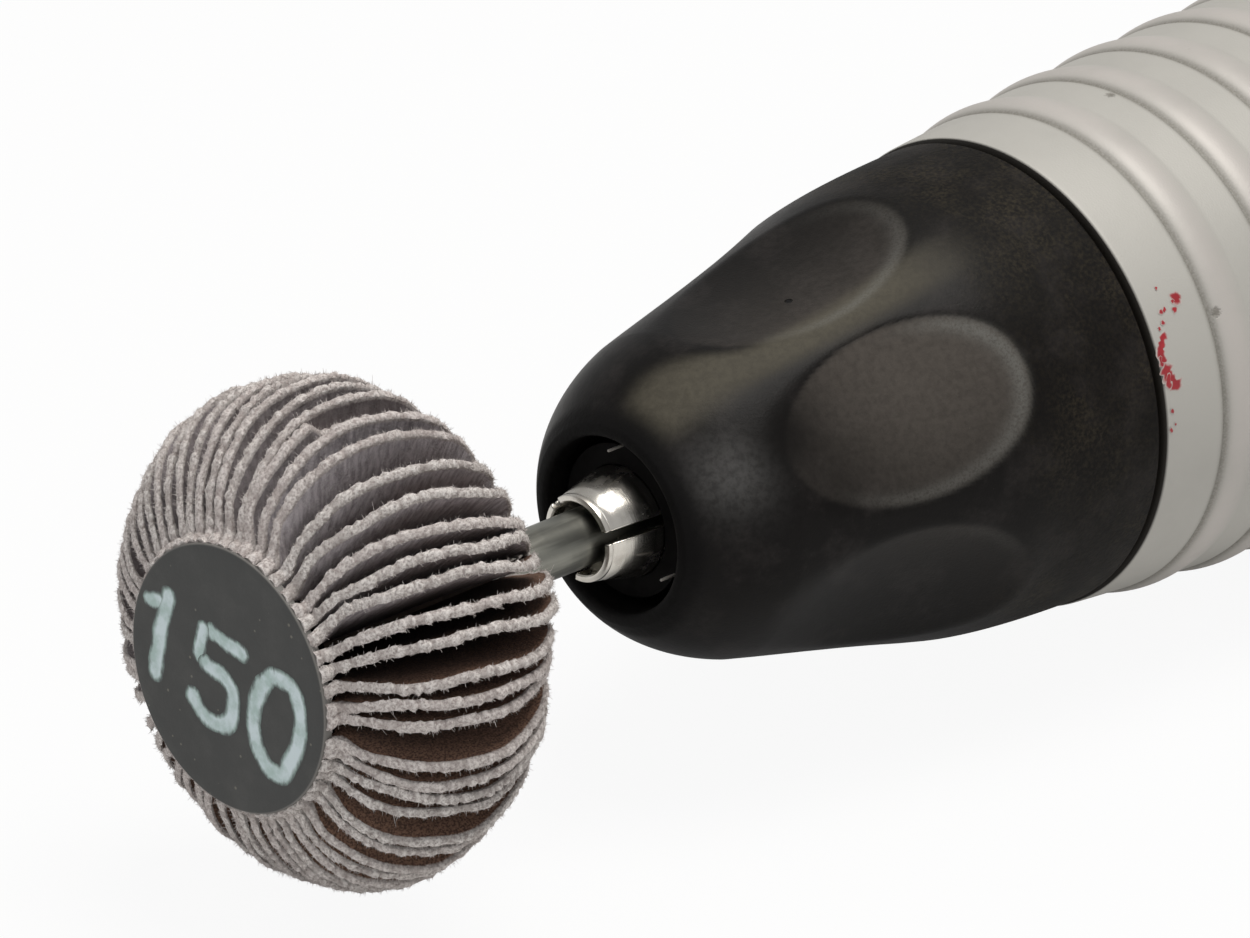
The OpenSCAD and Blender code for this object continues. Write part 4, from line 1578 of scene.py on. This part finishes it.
@dataclass
class Collet:
    """The slotted collet that stands in the mouth of the grip."""

    layout: Layout
    lobes: int = 3
    lobe_steps: int = 40
    first_slot: float = 72.5
    slot_w: float = 0.62
    slot_round: float = 0.07
    rim_r: float = 2.34
    mouth_r: float = 1.95
    bore_r: float = 1.52
    body_r: float = 2.2
    groove_at: float = 0.34
    cone_len: float = 3.0
    mouth_len: float = 0.9
    taper_len: float = 5.0
    rib_angles: tuple[float, ...] = (-1.5, 116.5, 236.5)
    rib_w: float = 0.13
    rib_len: float = 1.1
    rib_r: float = 4.12
    rib_ahead: float = 0.45

    def _outline(self) -> Outline:
        """Works out the closed section of the collet's wall.

        Returns:
            The points, as (x, radius).
        """
        x, end, wide = self.layout.collet_x, self.layout.collet_end, self.layout.collet_r
        rim, lip, groove = self.rim_r, x + self.groove_at - 0.06, x + self.groove_at
        nose = [(x, self.mouth_r + 0.08), (x, rim - 0.12), (x + 0.035, rim - 0.035), (x + 0.12, rim)]
        nose += [(lip, rim + 0.01), (groove, rim - 0.06), (groove + 0.07, rim + 0.02)]
        taper = [(x + self.cone_len, wide), (self.layout.head_x, wide)]
        taper += [(self.layout.head_x + self.taper_len, self.body_r), (end, self.body_r), (end, self.bore_r)]
        mouth = [(x + self.mouth_len + 0.5, self.bore_r), (x + self.mouth_len, self.mouth_r)]
        return nose + taper + mouth + [(x + 0.08, self.mouth_r)]

    def build(self) -> None:
        """Builds the lobes between the slots and the ribs behind them."""
        whole = bmesh.new()
        for lobe in range(self.lobes):
            part = self._lobe()
            turn = turn_about_x(self.first_slot + (lobe + 0.5) * 360 / self.lobes)
            bmesh.ops.rotate(part, verts=part.verts, cent=(0, 0, 0), matrix=turn)
            add_data(whole, to_data(part))
        Piece("slotted_collet", "draw_bar", "chrome", Surface.CHROME.value, ("collet",)).make(whole)
        self._ribs()

    def _ribs(self) -> None:
        """Builds the thin locating ribs on the front of the spindle head, in a pale steel that also stands for
        glints there as a painted highlight.
        """
        whole = bmesh.new()
        for angle in self.rib_angles:
            bar = bmesh.ops.create_cube(whole, size=1)["verts"]
            bmesh.ops.scale(whole, verts=bar, vec=(self.rib_len, self.rib_w, self.rib_w))
            bmesh.ops.translate(whole, verts=bar, vec=(self.layout.head_x - self.rib_ahead, 0, self.rib_r))
            bmesh.ops.rotate(whole, verts=bar, cent=(0, 0, 0), matrix=turn_about_x(angle))
        soften(whole, whole.edges, 0.03, 2)
        Piece("head_ribs", "spindle", "steel", Surface.GLINT_PALE_STEEL.value).make(whole)

    def _lobe(self) -> BMesh:
        """One lobe, centred on +Z, with its slot faces parallel to the slots' middles.

        Returns:
            The closed mesh.
        """
        span = 360 / self.lobes
        part = bmesh.new()
        verts = [part.verts.new((x, 0, r)) for x, r in refine(self._outline(), 0.8)]
        edges = [part.edges.new(pair) for pair in zip(verts, verts[1:] + verts[:1])]
        axle = {"cent": (0, 0, 0), "axis": (1, 0, 0)}
        bmesh.ops.rotate(part, verts=verts, cent=(0, 0, 0), matrix=turn_about_x(-span / 2))
        bmesh.ops.spin(part, geom=verts + edges, angle=math.radians(span), steps=self.lobe_steps, **axle)
        rims: list[BMEdge] = []
        for side in (-1, 1):
            across = turn_about_x(side * span / 2) @ Vector((0, -side, 0))
            whole = list(part.verts) + list(part.edges) + list(part.faces)
            plane = {"plane_co": across * self.slot_w / -2, "plane_no": across}
            cut = bmesh.ops.bisect_plane(part, geom=whole, clear_outer=True, **plane)["geom_cut"]
            rims += [e for e in cut if isinstance(e, BMEdge)]
            bmesh.ops.holes_fill(part, edges=rims)
        soften(part, [e for e in rims if e.is_valid], self.slot_round, 3)
        bmesh.ops.remove_doubles(part, verts=part.verts, dist=WELD / 2)
        face_outwards(part)
        return part


# ---- Grip ----


@dataclass
class Grip:
    """The black twist grip with its finger scallops."""

    layout: Layout
    rim_w: float = 0.45
    lip_r: float = 0.28
    lip_at: float = 0.4
    mouth_r: float = 4.7
    shoulder_r: float = 8.7
    shoulder_len: float = 5.3
    shoulder_bulge: float = 2.45
    shoulder_run: float = 1.85
    cone_slope: float = 0.234
    cone_len: float = 18.3
    rear_r: float = 12.65
    rear_round: float = 0.2
    rear_run: float = 3.0
    bore_r: float = 7.86
    bore_x: float = 10.0
    cam_r: float = 10.02
    cam_x: float = 21.5
    seal_x: float = 6.3
    seal_r: float = 6.2
    scallops: int = 6
    scallop_depth: float = 1.05
    bowl_r: float = 28.0
    scallop_at: float = 12.7
    # Angle where the painted light from above on the scallops is strongest.
    painted_light_angle: float = 44.0
    # Angle of the ridge band with its painted highlight.
    ridge_angle: float = 25.0
    pinhole_at: tuple[float, float, float] = (11.9, 6.2, 9.25)
    # Where the front patch with its painted highlight lies.
    polished_at: tuple[float, float] = (2.7, 57.0)
    # Where the painted shade lies in a hollow in front of a scallop.
    crease_at: tuple[float, float] = (5.7, 51.0)
    steps: int = 360
    longest: float = 0.17

    def _outer(self) -> Outline:
        """Works out the outer outline from the mouth to the rear edge.

        Returns:
            The points, as (distance, radius).
        """
        rim = self.mouth_r + self.rim_w
        length = self.layout.grip_end - self.layout.mouth_x
        cone_end = self.shoulder_r + (self.cone_len - self.shoulder_len) * self.cone_slope
        shares = np.linspace(0, 1, 24)
        front_x = (0, self.shoulder_run, self.shoulder_len)
        front_r = (rim, rim + self.shoulder_bulge, self.shoulder_r)
        rear_x = (self.cone_len, self.cone_len + self.rear_run, length)
        rear_r = (cone_end, self.rear_r - self.rear_round, self.rear_r)
        return bend_outline(front_x, front_r, shares) + bend_outline(rear_x, rear_r, shares)

    def build(self) -> None:
        """Builds the grip."""
        start, length = self.layout.mouth_x, self.layout.grip_end - self.layout.mouth_x
        lip = arc((self.lip_at, self.mouth_r + self.lip_r), self.lip_r, 270, 180, 4)[1:]
        edge = [(length - 0.12, self.rear_r - 0.01), (length, self.rear_r - 0.14)]
        skin = refine(self._outer()[1:-1] + edge, self.longest)
        inside = [(length, self.cam_r), (self.cam_x, self.cam_r), (self.cam_x, self.bore_r)]
        inside += [(self.bore_x, self.bore_r), (self.bore_x, self.seal_r), (self.seal_x, self.seal_r)]
        inside += [(self.seal_x, self.mouth_r), (self.lip_at, self.mouth_r)]
        section = [(start + x, r) for x, r in inside + lip + skin]
        data = to_data(revolve(section, self.steps))
        self._press_scallops(data, np.array([(start + x, r) for x, r in skin]))
        at, turn, reach = self.pinhole_at
        finish = GripPlastic(
            "grip_black",
            screen_color(16, 14, 13),
            0.33,
            specular=0.11,
            grain_depth=0.04,
            dull=screen_color(35, 32, 31),
            pinhole=tuple(point_at(start + at, reach, turn)),
        )
        Piece("scalloped_grip", "grip", "grip_plastic", finish, ("nose_grip",), sharp_angle=50).make(data)

    def _press_scallops(self, data: Mesh, skin: np.ndarray) -> None:
        """Presses the scallops into the outer skin and notes where they are.

        Args:
            data: The turned grip.
            skin: The outer outline, as rows of x and radius.
        """
        points = mesh_points(data)
        x, radius = points[:, 0], np.hypot(points[:, 1], points[:, 2])
        angle = np.degrees(np.arctan2(-points[:, 1], points[:, 2]))
        at = x - self.layout.mouth_x
        on_skin = np.abs(radius - np.interp(x, skin[:, 0], skin[:, 1])) < 0.02
        tilt = math.atan(self.cone_slope)
        stand = self.bowl_r - self.scallop_depth
        centre_x = self.layout.mouth_x + self.scallop_at - stand * math.sin(tilt)
        cone_r = self.shoulder_r + (self.scallop_at - self.shoulder_len) * self.cone_slope
        centre_r = cone_r + stand * math.cos(tilt)
        away = wrap(angle, 360 / self.scallops)
        inside = self.bowl_r**2 - (x - centre_x) ** 2
        bowl = (centre_r - np.sqrt(inside.clip(0))) / np.cos(np.radians(away))
        bowl = np.where((inside > 0) & (np.abs(x - centre_x) < 0.9 * self.bowl_r), bowl, 99.0)
        soft = 0.14 + 0.34 * (1 - smooth_step((at - 4) / 8))
        share = np.clip(0.5 + 0.5 * (radius - bowl) / soft, 0, 1)
        pressed = radius + (bowl - radius) * share - soft * share * (1 - share)
        points[:, 1:] *= (np.where(on_skin, pressed, radius) / radius)[:, None]
        data.vertices.foreach_set("co", points.ravel())
        self._mark(data, at, angle, radius, on_skin, radius - bowl, away)

    def _mark(
        self,
        data: Mesh,
        at: np.ndarray,
        angle: np.ndarray,
        radius: np.ndarray,
        on_skin: np.ndarray,
        deep: np.ndarray,
        away: np.ndarray,
    ) -> None:
        """Keeps for each point how far it is dusty, worn, mottled, lit by painted light or highlight, or in painted
        shade.

        Args:
            data: The grip.
            at: Each point's distance from the mouth.
            angle: Its angle, in degrees.
            radius: Its radius before the scallops were pressed.
            on_skin: Whether it is on the outer skin.
            deep: How far it was pressed in.
            away: Its angle from the middle of the next scallop.
        """
        # Scallop floors: the upper scallops lighter and their fronts darker, as painted light.
        fade_from = 7 - 4.5 * np.cos(np.radians(angle)).clip(0, 1) ** 3
        rearward = smooth_step((at - fade_from) / 8)
        lit_from_above = np.cos(np.radians(angle - self.painted_light_angle)).clip(0, 1) ** 3
        lit_from_above *= 1 - 0.4 * smooth_step((34 - angle) / 26)
        floor = smooth_step(deep / 0.12) * on_skin * (0.3 + 0.7 * rearward) * lit_from_above
        # Rims of the scallops: a painted highlight, lighter towards the rear and on one side.
        band = hill((deep - 0.2) / 0.14) * smooth_step((at - 9) / 8 + away / 60)
        # Band on the lit upper flank of the ridge, wider at the front: dust and painted highlight.
        front = 1 - smooth_step((at - 2.0) / 5.5)
        from_ridge = (angle - self.ridge_angle + 9 * front) / (6.5 + 9.5 * front)
        ridge = np.exp(-(from_ridge**4)) * smooth_step((at - 0.3) / 1.5) * (1 - smooth_step((at - 15) / 7))
        # A front patch of painted highlight, and painted shade in a hollow in front of a scallop.
        polish, crease = (
            np.exp(-(((angle - turn) / 16) ** 2 + ((at - spot) / 1.9) ** 2)) * on_skin
            for spot, turn in (self.polished_at, self.crease_at)
        )
        keep_values(data, scallop=floor, rim=band * on_skin * lit_from_above)
        keep_values(data, rear=smooth_step((at - 16.5) / 7) * on_skin, ridge=ridge * on_skin)
        keep_values(data, polish=polish, crease=crease)
        # The mouth's bore and lip: painted shade.
        keep_values(data, mouth=np.where(radius < 5.5, 1.0, 1 - smooth_step((at - 0.35) / 1.0)))


# ---- Sleeve ----


@dataclass
class Sleeve:
    """The aluminium sleeve with its ribs, and the flecks of old paint on it."""

    layout: Layout
    ring_gap: float = 0.3
    front_r: float = 12.8
    belly_r: float = 14.5
    belly_at: float = 40.0
    rib_count: int = 11
    rib_pitch: float = 5.0
    rib_w: float = 2.5
    rib_h: float = 0.28
    crease_d: float = 0.12
    first_crease: float = 4.1
    crease_run: float = 0.2
    band_r: float = 13.2
    band_len: float = 12.0
    neck_r: float = 7.8
    bore_r: float = 9.45
    bearing_r: float = 7.02
    lip_r: float = 6.0
    lip_t: float = 1.0
    bore_step: float = 4.0
    fleck_angle: float = 58.5
    steps: int = 188
    station_step: float = 0.125

    def base_r(self, at: float) -> float:
        """The sleeve's radius without ribs, at a distance from its front edge."""
        return self.belly_r - (self.belly_r - self.front_r) * ((at - self.belly_at) / self.belly_at) ** 2

    def rib_rise(self, share: float) -> float:
        """The height of a rib at a share of its width: steep in front and long behind."""
        return self.rib_h * math.sin(math.pi * share**0.7) - self.crease_d * (1 - share) ** 4

    def radius_at(self, at: float) -> float:
        """Works out the sleeve's radius with its ribs.

        Args:
            at: The distance from its front edge.

        Returns:
            The radius.
        """
        rib, into = divmod(at - self.first_crease, self.rib_pitch)
        rise = 0.0
        if 0 <= rib < self.rib_count and into <= self.rib_w:
            rise = self.rib_rise(into / self.rib_w)
        elif -1 <= rib < self.rib_count - 1 and into > self.rib_pitch - self.crease_run:
            rise = -self.crease_d * (1 - (self.rib_pitch - into) / self.crease_run)
        return self.base_r(at) + rise

    def build(self) -> None:
        """Builds the sleeve and its paint flecks."""
        ring = self.layout.grip_end + self.ring_gap
        length = self.layout.cap_x - ring
        band_at = length - self.band_len
        outer = [(0.0, self.front_r - 0.22), (0.06, self.front_r - 0.06), (0.2, self.front_r)]
        outer += [(t, self.radius_at(t)) for t in np.arange(0.3, band_at - 1.4, self.station_step)]
        band = [outer[-1], (band_at, self.band_r), (length, self.band_r), (length, self.bore_r)]
        neck = self.layout.neck_x - ring
        inside = [(length, self.bore_r), (self.bore_step, self.bore_r), (self.bore_step, self.bearing_r)]
        inside += [(neck + self.lip_t, self.bearing_r), (neck + self.lip_t, self.lip_r), (neck, self.lip_r)]
        inside += [(neck, self.neck_r - 0.2), (neck + 0.2, self.neck_r), (0.0, self.neck_r)]
        section = [(ring + x, r) for x, r in inside + outer + round_corners(band, 0.25)[1:-1]]
        data = to_data(revolve(section, self.steps))
        points = mesh_points(data)
        at = points[:, 0] - ring
        outside = np.hypot(points[:, 1], points[:, 2]) > 12
        into = (at - self.first_crease) % self.rib_pitch
        ribs_end = self.first_crease + self.rib_count * self.rib_pitch
        ribbed = outside & (at > self.first_crease - 0.6) & (at < ribs_end)
        rise = np.sin(np.pi * np.clip(into / self.rib_w, 0, 1) ** 0.8) * ribbed
        # A dark band along each crease: painted shade.
        dirt_and_shade = hill((np.minimum(into, self.rib_pitch - into) - 0.02) / 0.22) * ribbed
        keep_values(data, rib=rise, crease=dirt_and_shade, gap=at < 0.15)
        body = Piece("ribbed_body", "housing", "sleeve_aluminium", Surface.ALUMINIUM.value, ("ribbed_sleeve",))
        body.make(data)
        self._flecks(ring)

    def _flecks(self, ring: float) -> None:
        """Builds the flecks of worn paint near the front edge.

        Args:
            ring: The station of the sleeve's front edge.
        """

        def onto(spot: np.ndarray, height: np.ndarray) -> np.ndarray:
            """Lays points on the sleeve.

            Args:
                spot: The points, as distance and arc length.
                height: How far they stand off the sleeve.

            Returns:
                The places.
            """
            radius = np.array([self.radius_at(max(at, 0.25)) for at in spot[:, 0]]) + height * 0.4
            turn = self.fleck_angle + np.degrees(spot[:, 1] / self.front_r)
            return point_at(ring + spot[:, 0], radius, turn)

        paint = PaintLayer(FLECKS, onto, ragged=0.34, ragged_per_mm=7.0, steps_per_mm=16, seed=8)
        Piece("paint_flecks", "housing", "sleeve_aluminium", Surface.RED_PAINT.value).make(paint.mesh())


FLECKS = (
    Stroke(((1.0, 1.2), (0.62, 1.6), (0.38, 2.2), (0.42, 2.95)), 0.55),
    Stroke(((0.42, 2.7), (0.52, 3.3), (0.82, 3.9), (1.05, 4.4)), 0.8),
    Stroke(((0.62, 3.3), (0.42, 3.75), (0.52, 4.15)), 0.4),
    Stroke(((0.3, 2.3), (0.22, 2.6), (0.28, 2.9)), 0.2),
    Stroke(((2.7, -0.42), (2.45, -0.1), (2.62, 0.2)), 0.66),
    Stroke(((2.2, -0.2), (2.05, 0.05)), 0.28),
    Stroke(((1.95, 0.2), (2.15, 0.5)), 0.38),
    Stroke(((1.5, 0.0), (1.35, 0.3)), 0.22),
    Stroke(((1.1, 0.05), (1.25, 0.35)), 0.34),
    Stroke(((1.1, 0.6), (1.0, 0.9)), 0.28),
    Stroke(((0.72, 0.85), (0.66, 1.1)), 0.2),
    Stroke(((1.5, -1.1), (1.42, -0.9)), 0.14),
    Stroke(((0.35, 5.2), (0.5, 5.45)), 0.22),
    Stroke(((0.25, 6.15), (0.32, 6.5)), 0.24),
    Stroke(((0.55, 6.0), (0.6, 6.15)), 0.12),
)


# ---- End cap ----


@dataclass
class EndCap:
    """The black rear cap with its hexagon, its boss and the socket for the flexible shaft."""

    layout: Layout
    seal_t: float = 1.2
    seal_r: float = 12.75
    seal_bore_r: float = 9.45
    hex_set: float = 4.0
    hex_af: float = 31.0
    hex_len: float = 9.0
    hex_round: float = 2.0
    hex_edge: float = 0.7
    collar_r: float = 12.9
    spigot_r: float = 9.43
    spigot_len: float = 15.0
    boss_r: float = 11.4
    boss_end_r: float = 9.4
    socket_r: float = 4.0
    socket_len: float = 20.0
    snap_at: float = 8.0
    snap_r: float = 0.8
    lead_in: float = 0.6
    pocket_r: float = 7.02
    cavity_r: float = 6.2
    pocket_end: float = -38.5
    grooves: int = 3
    first_groove: float = 3.2
    groove_pitch: float = 3.4
    groove_d: float = 0.45
    steps: int = 128

    def build(self) -> None:
        """Builds the turned body, the hexagon and the seal."""
        self._body()
        self._hexagon()
        self._seal()

    def _body(self) -> None:
        """Builds the turned body of the cap with its socket."""
        seal_back = self.layout.cap_x + self.seal_t
        hex_x = seal_back + self.hex_set
        hex_back = hex_x + self.hex_len
        front = self.layout.cap_x - self.spigot_len
        outer: Outline = [(front, self.pocket_r), (front, self.spigot_r), (seal_back, self.spigot_r)]
        outer += [(seal_back, self.collar_r), (hex_x + 0.5, self.collar_r), (hex_x + 0.5, self.boss_r)]
        outer += [(hex_back, self.boss_r)]
        slope = (self.boss_end_r - self.boss_r) / (self.lead_in - hex_back)
        for groove in range(self.grooves):
            at = hex_back + self.first_groove + self.groove_pitch * groove
            radius = self.boss_r + slope * (at - hex_back)
            floor = radius - self.groove_d
            outer += [(at, radius), (at + 0.35, floor), (at + 1.05, floor - 0.05), (at + 1.4, radius + 1.4 * slope)]
        outer += [(self.lead_in, self.boss_end_r), (self.lead_in, self.socket_r + self.lead_in)]
        inner = [(0.0, self.socket_r)] + arc((-self.snap_at, self.socket_r), self.snap_r, 0, 180, 10)
        inner += [(-self.socket_len, self.socket_r), (-self.socket_len, self.cavity_r)]
        inner += [(self.pocket_end, self.cavity_r), (self.pocket_end, self.pocket_r)]
        section = round_corners(outer, 0.35) + inner
        mesh = revolve(refine(section + section[:1], 1.5)[:-1], self.steps)
        Piece("cap_body", "housing", "cap_plastic", Surface.PLASTIC.value, ("end_cap",)).make(mesh)

    def _hexagon(self) -> None:
        """Builds the hexagonal flange with softened edges."""
        start = self.layout.cap_x + self.seal_t + self.hex_set
        mesh = bmesh.new()
        corner_r = self.hex_af / 2 / math.cos(math.pi / 6)
        bmesh.ops.create_circle(mesh, cap_ends=True, segments=6, radius=corner_r)
        quarter = Matrix.Rotation(math.pi / 2, 3, "Y")
        bmesh.ops.rotate(mesh, verts=mesh.verts, cent=(0, 0, 0), matrix=quarter)
        bmesh.ops.translate(mesh, verts=mesh.verts, vec=(start, 0, 0))
        thicken(mesh, self.hex_len, 0)
        face_outwards(mesh)
        corners = [e for e in mesh.edges if abs(e.verts[0].co.x - e.verts[1].co.x) > 1]
        soften(mesh, corners, self.hex_round, 5)
        rims = {e for f in mesh.faces if abs(f.normal.x) > 0.9 for e in f.edges}
        soften(mesh, rims, self.hex_edge, 4)
        Piece("cap_hexagon", "housing", "cap_plastic", Surface.PLASTIC.value).make(mesh)

    def _seal(self) -> None:
        """Builds the rubber ring between the sleeve and the cap."""
        start, back = self.layout.cap_x, self.layout.cap_x + self.seal_t
        outline = [(start, self.seal_bore_r), (start, self.seal_r), (back, self.seal_r), (back, self.seal_bore_r)]
        mesh = revolve(refine(round_corners(outline, 0.3), 0.6), self.steps)
        Piece("cap_seal", "housing", "seal_rubber", Surface.RUBBER.value, ("end_cap_seal",)).make(mesh)


# ---- Hidden works ----


@dataclass
class HiddenWorks:
    """The spindle, bearings and release parts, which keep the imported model's shapes."""

    finishes: Mapping[str, Surface] = field(
        default_factory=lambda: {
            "steel": Surface.STEEL,
            "dark_steel": Surface.BLACK_STEEL_AND_SHADE,
            "chrome": Surface.CHROME,
            "brass": Surface.BRASS,
            "seal_rubber": Surface.RUBBER,
            "resin": Surface.RESIN,
            "grip_plastic": Surface.PLASTIC,
            "cap_plastic": Surface.PLASTIC,
            "sleeve_aluminium": Surface.ALUMINIUM,
            "abrasive_cloth": Surface.CLOTH,
            "label": Surface.LABEL,
        }
    )
    wire_r: float = 0.45
    wire_sides: int = 10
    spring_turns: int = 12
    steps_per_turn: int = 24
    travel: float = 1.2

    def dress(self, record: Mapping[str, Any], nodes: Mapping[str, Object]) -> None:
        """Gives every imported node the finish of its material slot.

        Args:
            record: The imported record.
            nodes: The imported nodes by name.
        """
        for part in record["subparts"]:
            node = nodes[part["node"]]
            node.data.materials.clear()
            node.data.materials.append(self.finishes[part["material_slot"]].value.material())
            LOG.info("%s: dressed as %s", part["node"], part["material_slot"])

    def build(self) -> None:
        """Winds the collet spring, which shortens as the draw bar moves."""
        low, high = (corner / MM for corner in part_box("collet_spring"))
        steps = self.spring_turns * self.steps_per_turn
        run = high.x - low.x - 2 * self.wire_r
        mesh = bmesh.new()
        bmesh.ops.create_circle(mesh, segments=self.wire_sides, radius=self.wire_r)
        bmesh.ops.translate(mesh, verts=mesh.verts, vec=(low.x + self.wire_r, high.z - self.wire_r, 0))
        wire = list(mesh.verts) + list(mesh.edges)
        winding = {"angle": math.tau * self.spring_turns, "steps": steps, "dvec": (run / steps, 0, 0)}
        bmesh.ops.spin(mesh, geom=wire, cent=(0, 0, 0), axis=(1, 0, 0), **winding)
        bmesh.ops.holes_fill(mesh, edges=[e for e in mesh.edges if e.is_boundary])
        face_outwards(mesh)
        piece = Piece("wound_spring", "spindle", "steel", Surface.STEEL.value, ("collet_spring",)).make(mesh)
        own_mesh(piece)


# ---- Studio ----


def direction(azimuth: float, elevation: float) -> Vector:
    """The direction of a lamp or the camera, as seen from the tool, from its angles in degrees."""
    turn, rise = math.radians(azimuth), math.radians(elevation)
    return Vector((math.sin(turn) * math.cos(rise), -math.cos(turn) * math.cos(rise), math.sin(rise)))


@dataclass(frozen=True)
class SoftLamp:
    """A square soft lamp that points at the tool's middle."""

    name: str
    azimuth: float
    elevation: float
    distance: float
    size: float
    watts: float
    color: Color = (1.0, 1.0, 1.0)

    def hang(self, layout: Layout) -> None:
        """Hangs the lamp.

        Args:
            layout: The tool's stations.
        """
        back = direction(self.azimuth, self.elevation)
        middle = Vector(((layout.label_x + layout.cap_x) / 2, 0, 0))
        light = bpy.data.lights.new(self.name, "AREA")
        light.size = self.size * MM
        light.energy = self.watts
        light.color = self.color
        lamp = show(self.name, light)
        lamp.location = (middle + back * self.distance) * MM
        lamp.rotation_euler = back.to_track_quat("Z", "Y").to_euler()


@dataclass
class Studio:
    """A plain pale floor, soft light from above and the camera."""

    layout: Layout
    azimuth: float = -44.474
    elevation: float = 23.852
    distance: float = 541.2
    image_width: int = 1250
    focal_pixels: float = 11000.0
    sensor_width: float = 36.0
    shift_right: float = 19.549
    shift_up: float = 10.339
    floor_size: float = 6000.0
    floor_gap: float = 0.15
    floor_color: Color = screen_color(224, 224, 224)
    floor_white: float = 0.93
    sky_light: float = 0.34
    gloss_share: float = 0.15
    lamps: tuple[SoftLamp, ...] = (
        SoftLamp("key_lamp", 30.0, 79.0, 700.0, 420.0, 3.9, (1.0, 0.97, 0.93)),
        SoftLamp("fill_lamp", -78.0, 34.0, 900.0, 560.0, 1.2, (0.96, 0.98, 1.0)),
    )

    def build(self) -> None:
        """Builds the floor, the sky, the lamps and the camera."""
        self._floor()
        self._sky()
        for lamp in self.lamps:
            lamp.hang(self.layout)
        self._camera()

    def _floor(self) -> None:
        """Builds the floor, which looks white and keeps the shadow."""
        mesh = bmesh.new()
        bmesh.ops.create_grid(mesh, x_segments=1, y_segments=1, size=self.floor_size / 2)
        bmesh.ops.translate(mesh, verts=mesh.verts, vec=(0, 0, self.layout.flat_z - self.floor_gap))
        bmesh.ops.scale(mesh, verts=mesh.verts, vec=(MM, MM, MM))
        floor = show("floor", to_data(mesh))
        material = bpy.data.materials.new("pale_floor")
        graph = Graph.blank(material)
        paper = graph.add("ShaderNodeBsdfDiffuse", {"Color": (*self.floor_color, 1)})
        glow = graph.add("ShaderNodeEmission", {"Color": (1, 1, 1, 1), "Strength": 1.0})
        shown, _ = graph.shown_directly(self.gloss_share)
        sockets = {0: graph.times(shown, self.floor_white), 1: paper.outputs[0], 2: glow.outputs[0]}
        both = graph.add("ShaderNodeMixShader", sockets)
        graph.add("ShaderNodeOutputMaterial", {"Surface": both.outputs[0]})
        floor.data.materials.append(material)

    def _sky(self) -> None:
        """Makes the soft white surroundings."""
        world = bpy.data.worlds.new("studio")
        bpy.context.scene.world = world
        graph = Graph.blank(world)
        shown, path = graph.shown_directly(self.gloss_share)
        shown = graph.larger(shown, path.outputs["Is Transmission Ray"])
        strength = graph.add("ShaderNodeMix", {0: shown, 2: self.sky_light, 3: 1.0}).outputs[0]
        sky = graph.add("ShaderNodeBackground", {"Color": (1, 1, 1, 1), "Strength": strength})
        graph.add("ShaderNodeOutputWorld", {"Surface": sky.outputs[0]})

    def _camera(self) -> None:
        """Places the camera and points it at the tool."""
        back = direction(self.azimuth, self.elevation)
        turn = math.radians(self.azimuth)
        right = Vector((math.cos(turn), math.sin(turn), 0))
        up = back.cross(right)
        label = Vector((self.layout.label_x, 0, 0))
        place = label + right * self.shift_right + up * self.shift_up + back * self.distance
        lens = bpy.data.cameras.new("camera")
        lens.sensor_width = self.sensor_width
        lens.lens = self.focal_pixels / self.image_width * self.sensor_width
        lens.clip_start, lens.clip_end = 0.02, 20
        camera = show("camera", lens)
        camera.matrix_world = Matrix.Translation(place * MM) @ Matrix((right, up, back)).transposed().to_4x4()
        bpy.context.scene.camera = camera


def main() -> None:
    """Builds the looks of the whole tool."""
    logging.basicConfig(level=logging.INFO, format="%(name)s: %(message)s")
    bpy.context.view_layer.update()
    bpy.context.scene.view_settings.view_transform = "Standard"
    layout = Layout.read()
    works = HiddenWorks()
    works.dress(frame["record"], frame["nodes"])
    for assembly in (works, Sleeve(layout), EndCap(layout), Grip(layout), Collet(layout), FlapWheel(layout)):
        assembly.build()
        LOG.info("%s is built", type(assembly).__name__)
    Studio(layout).build()


if __name__ == "__main__":
    main()
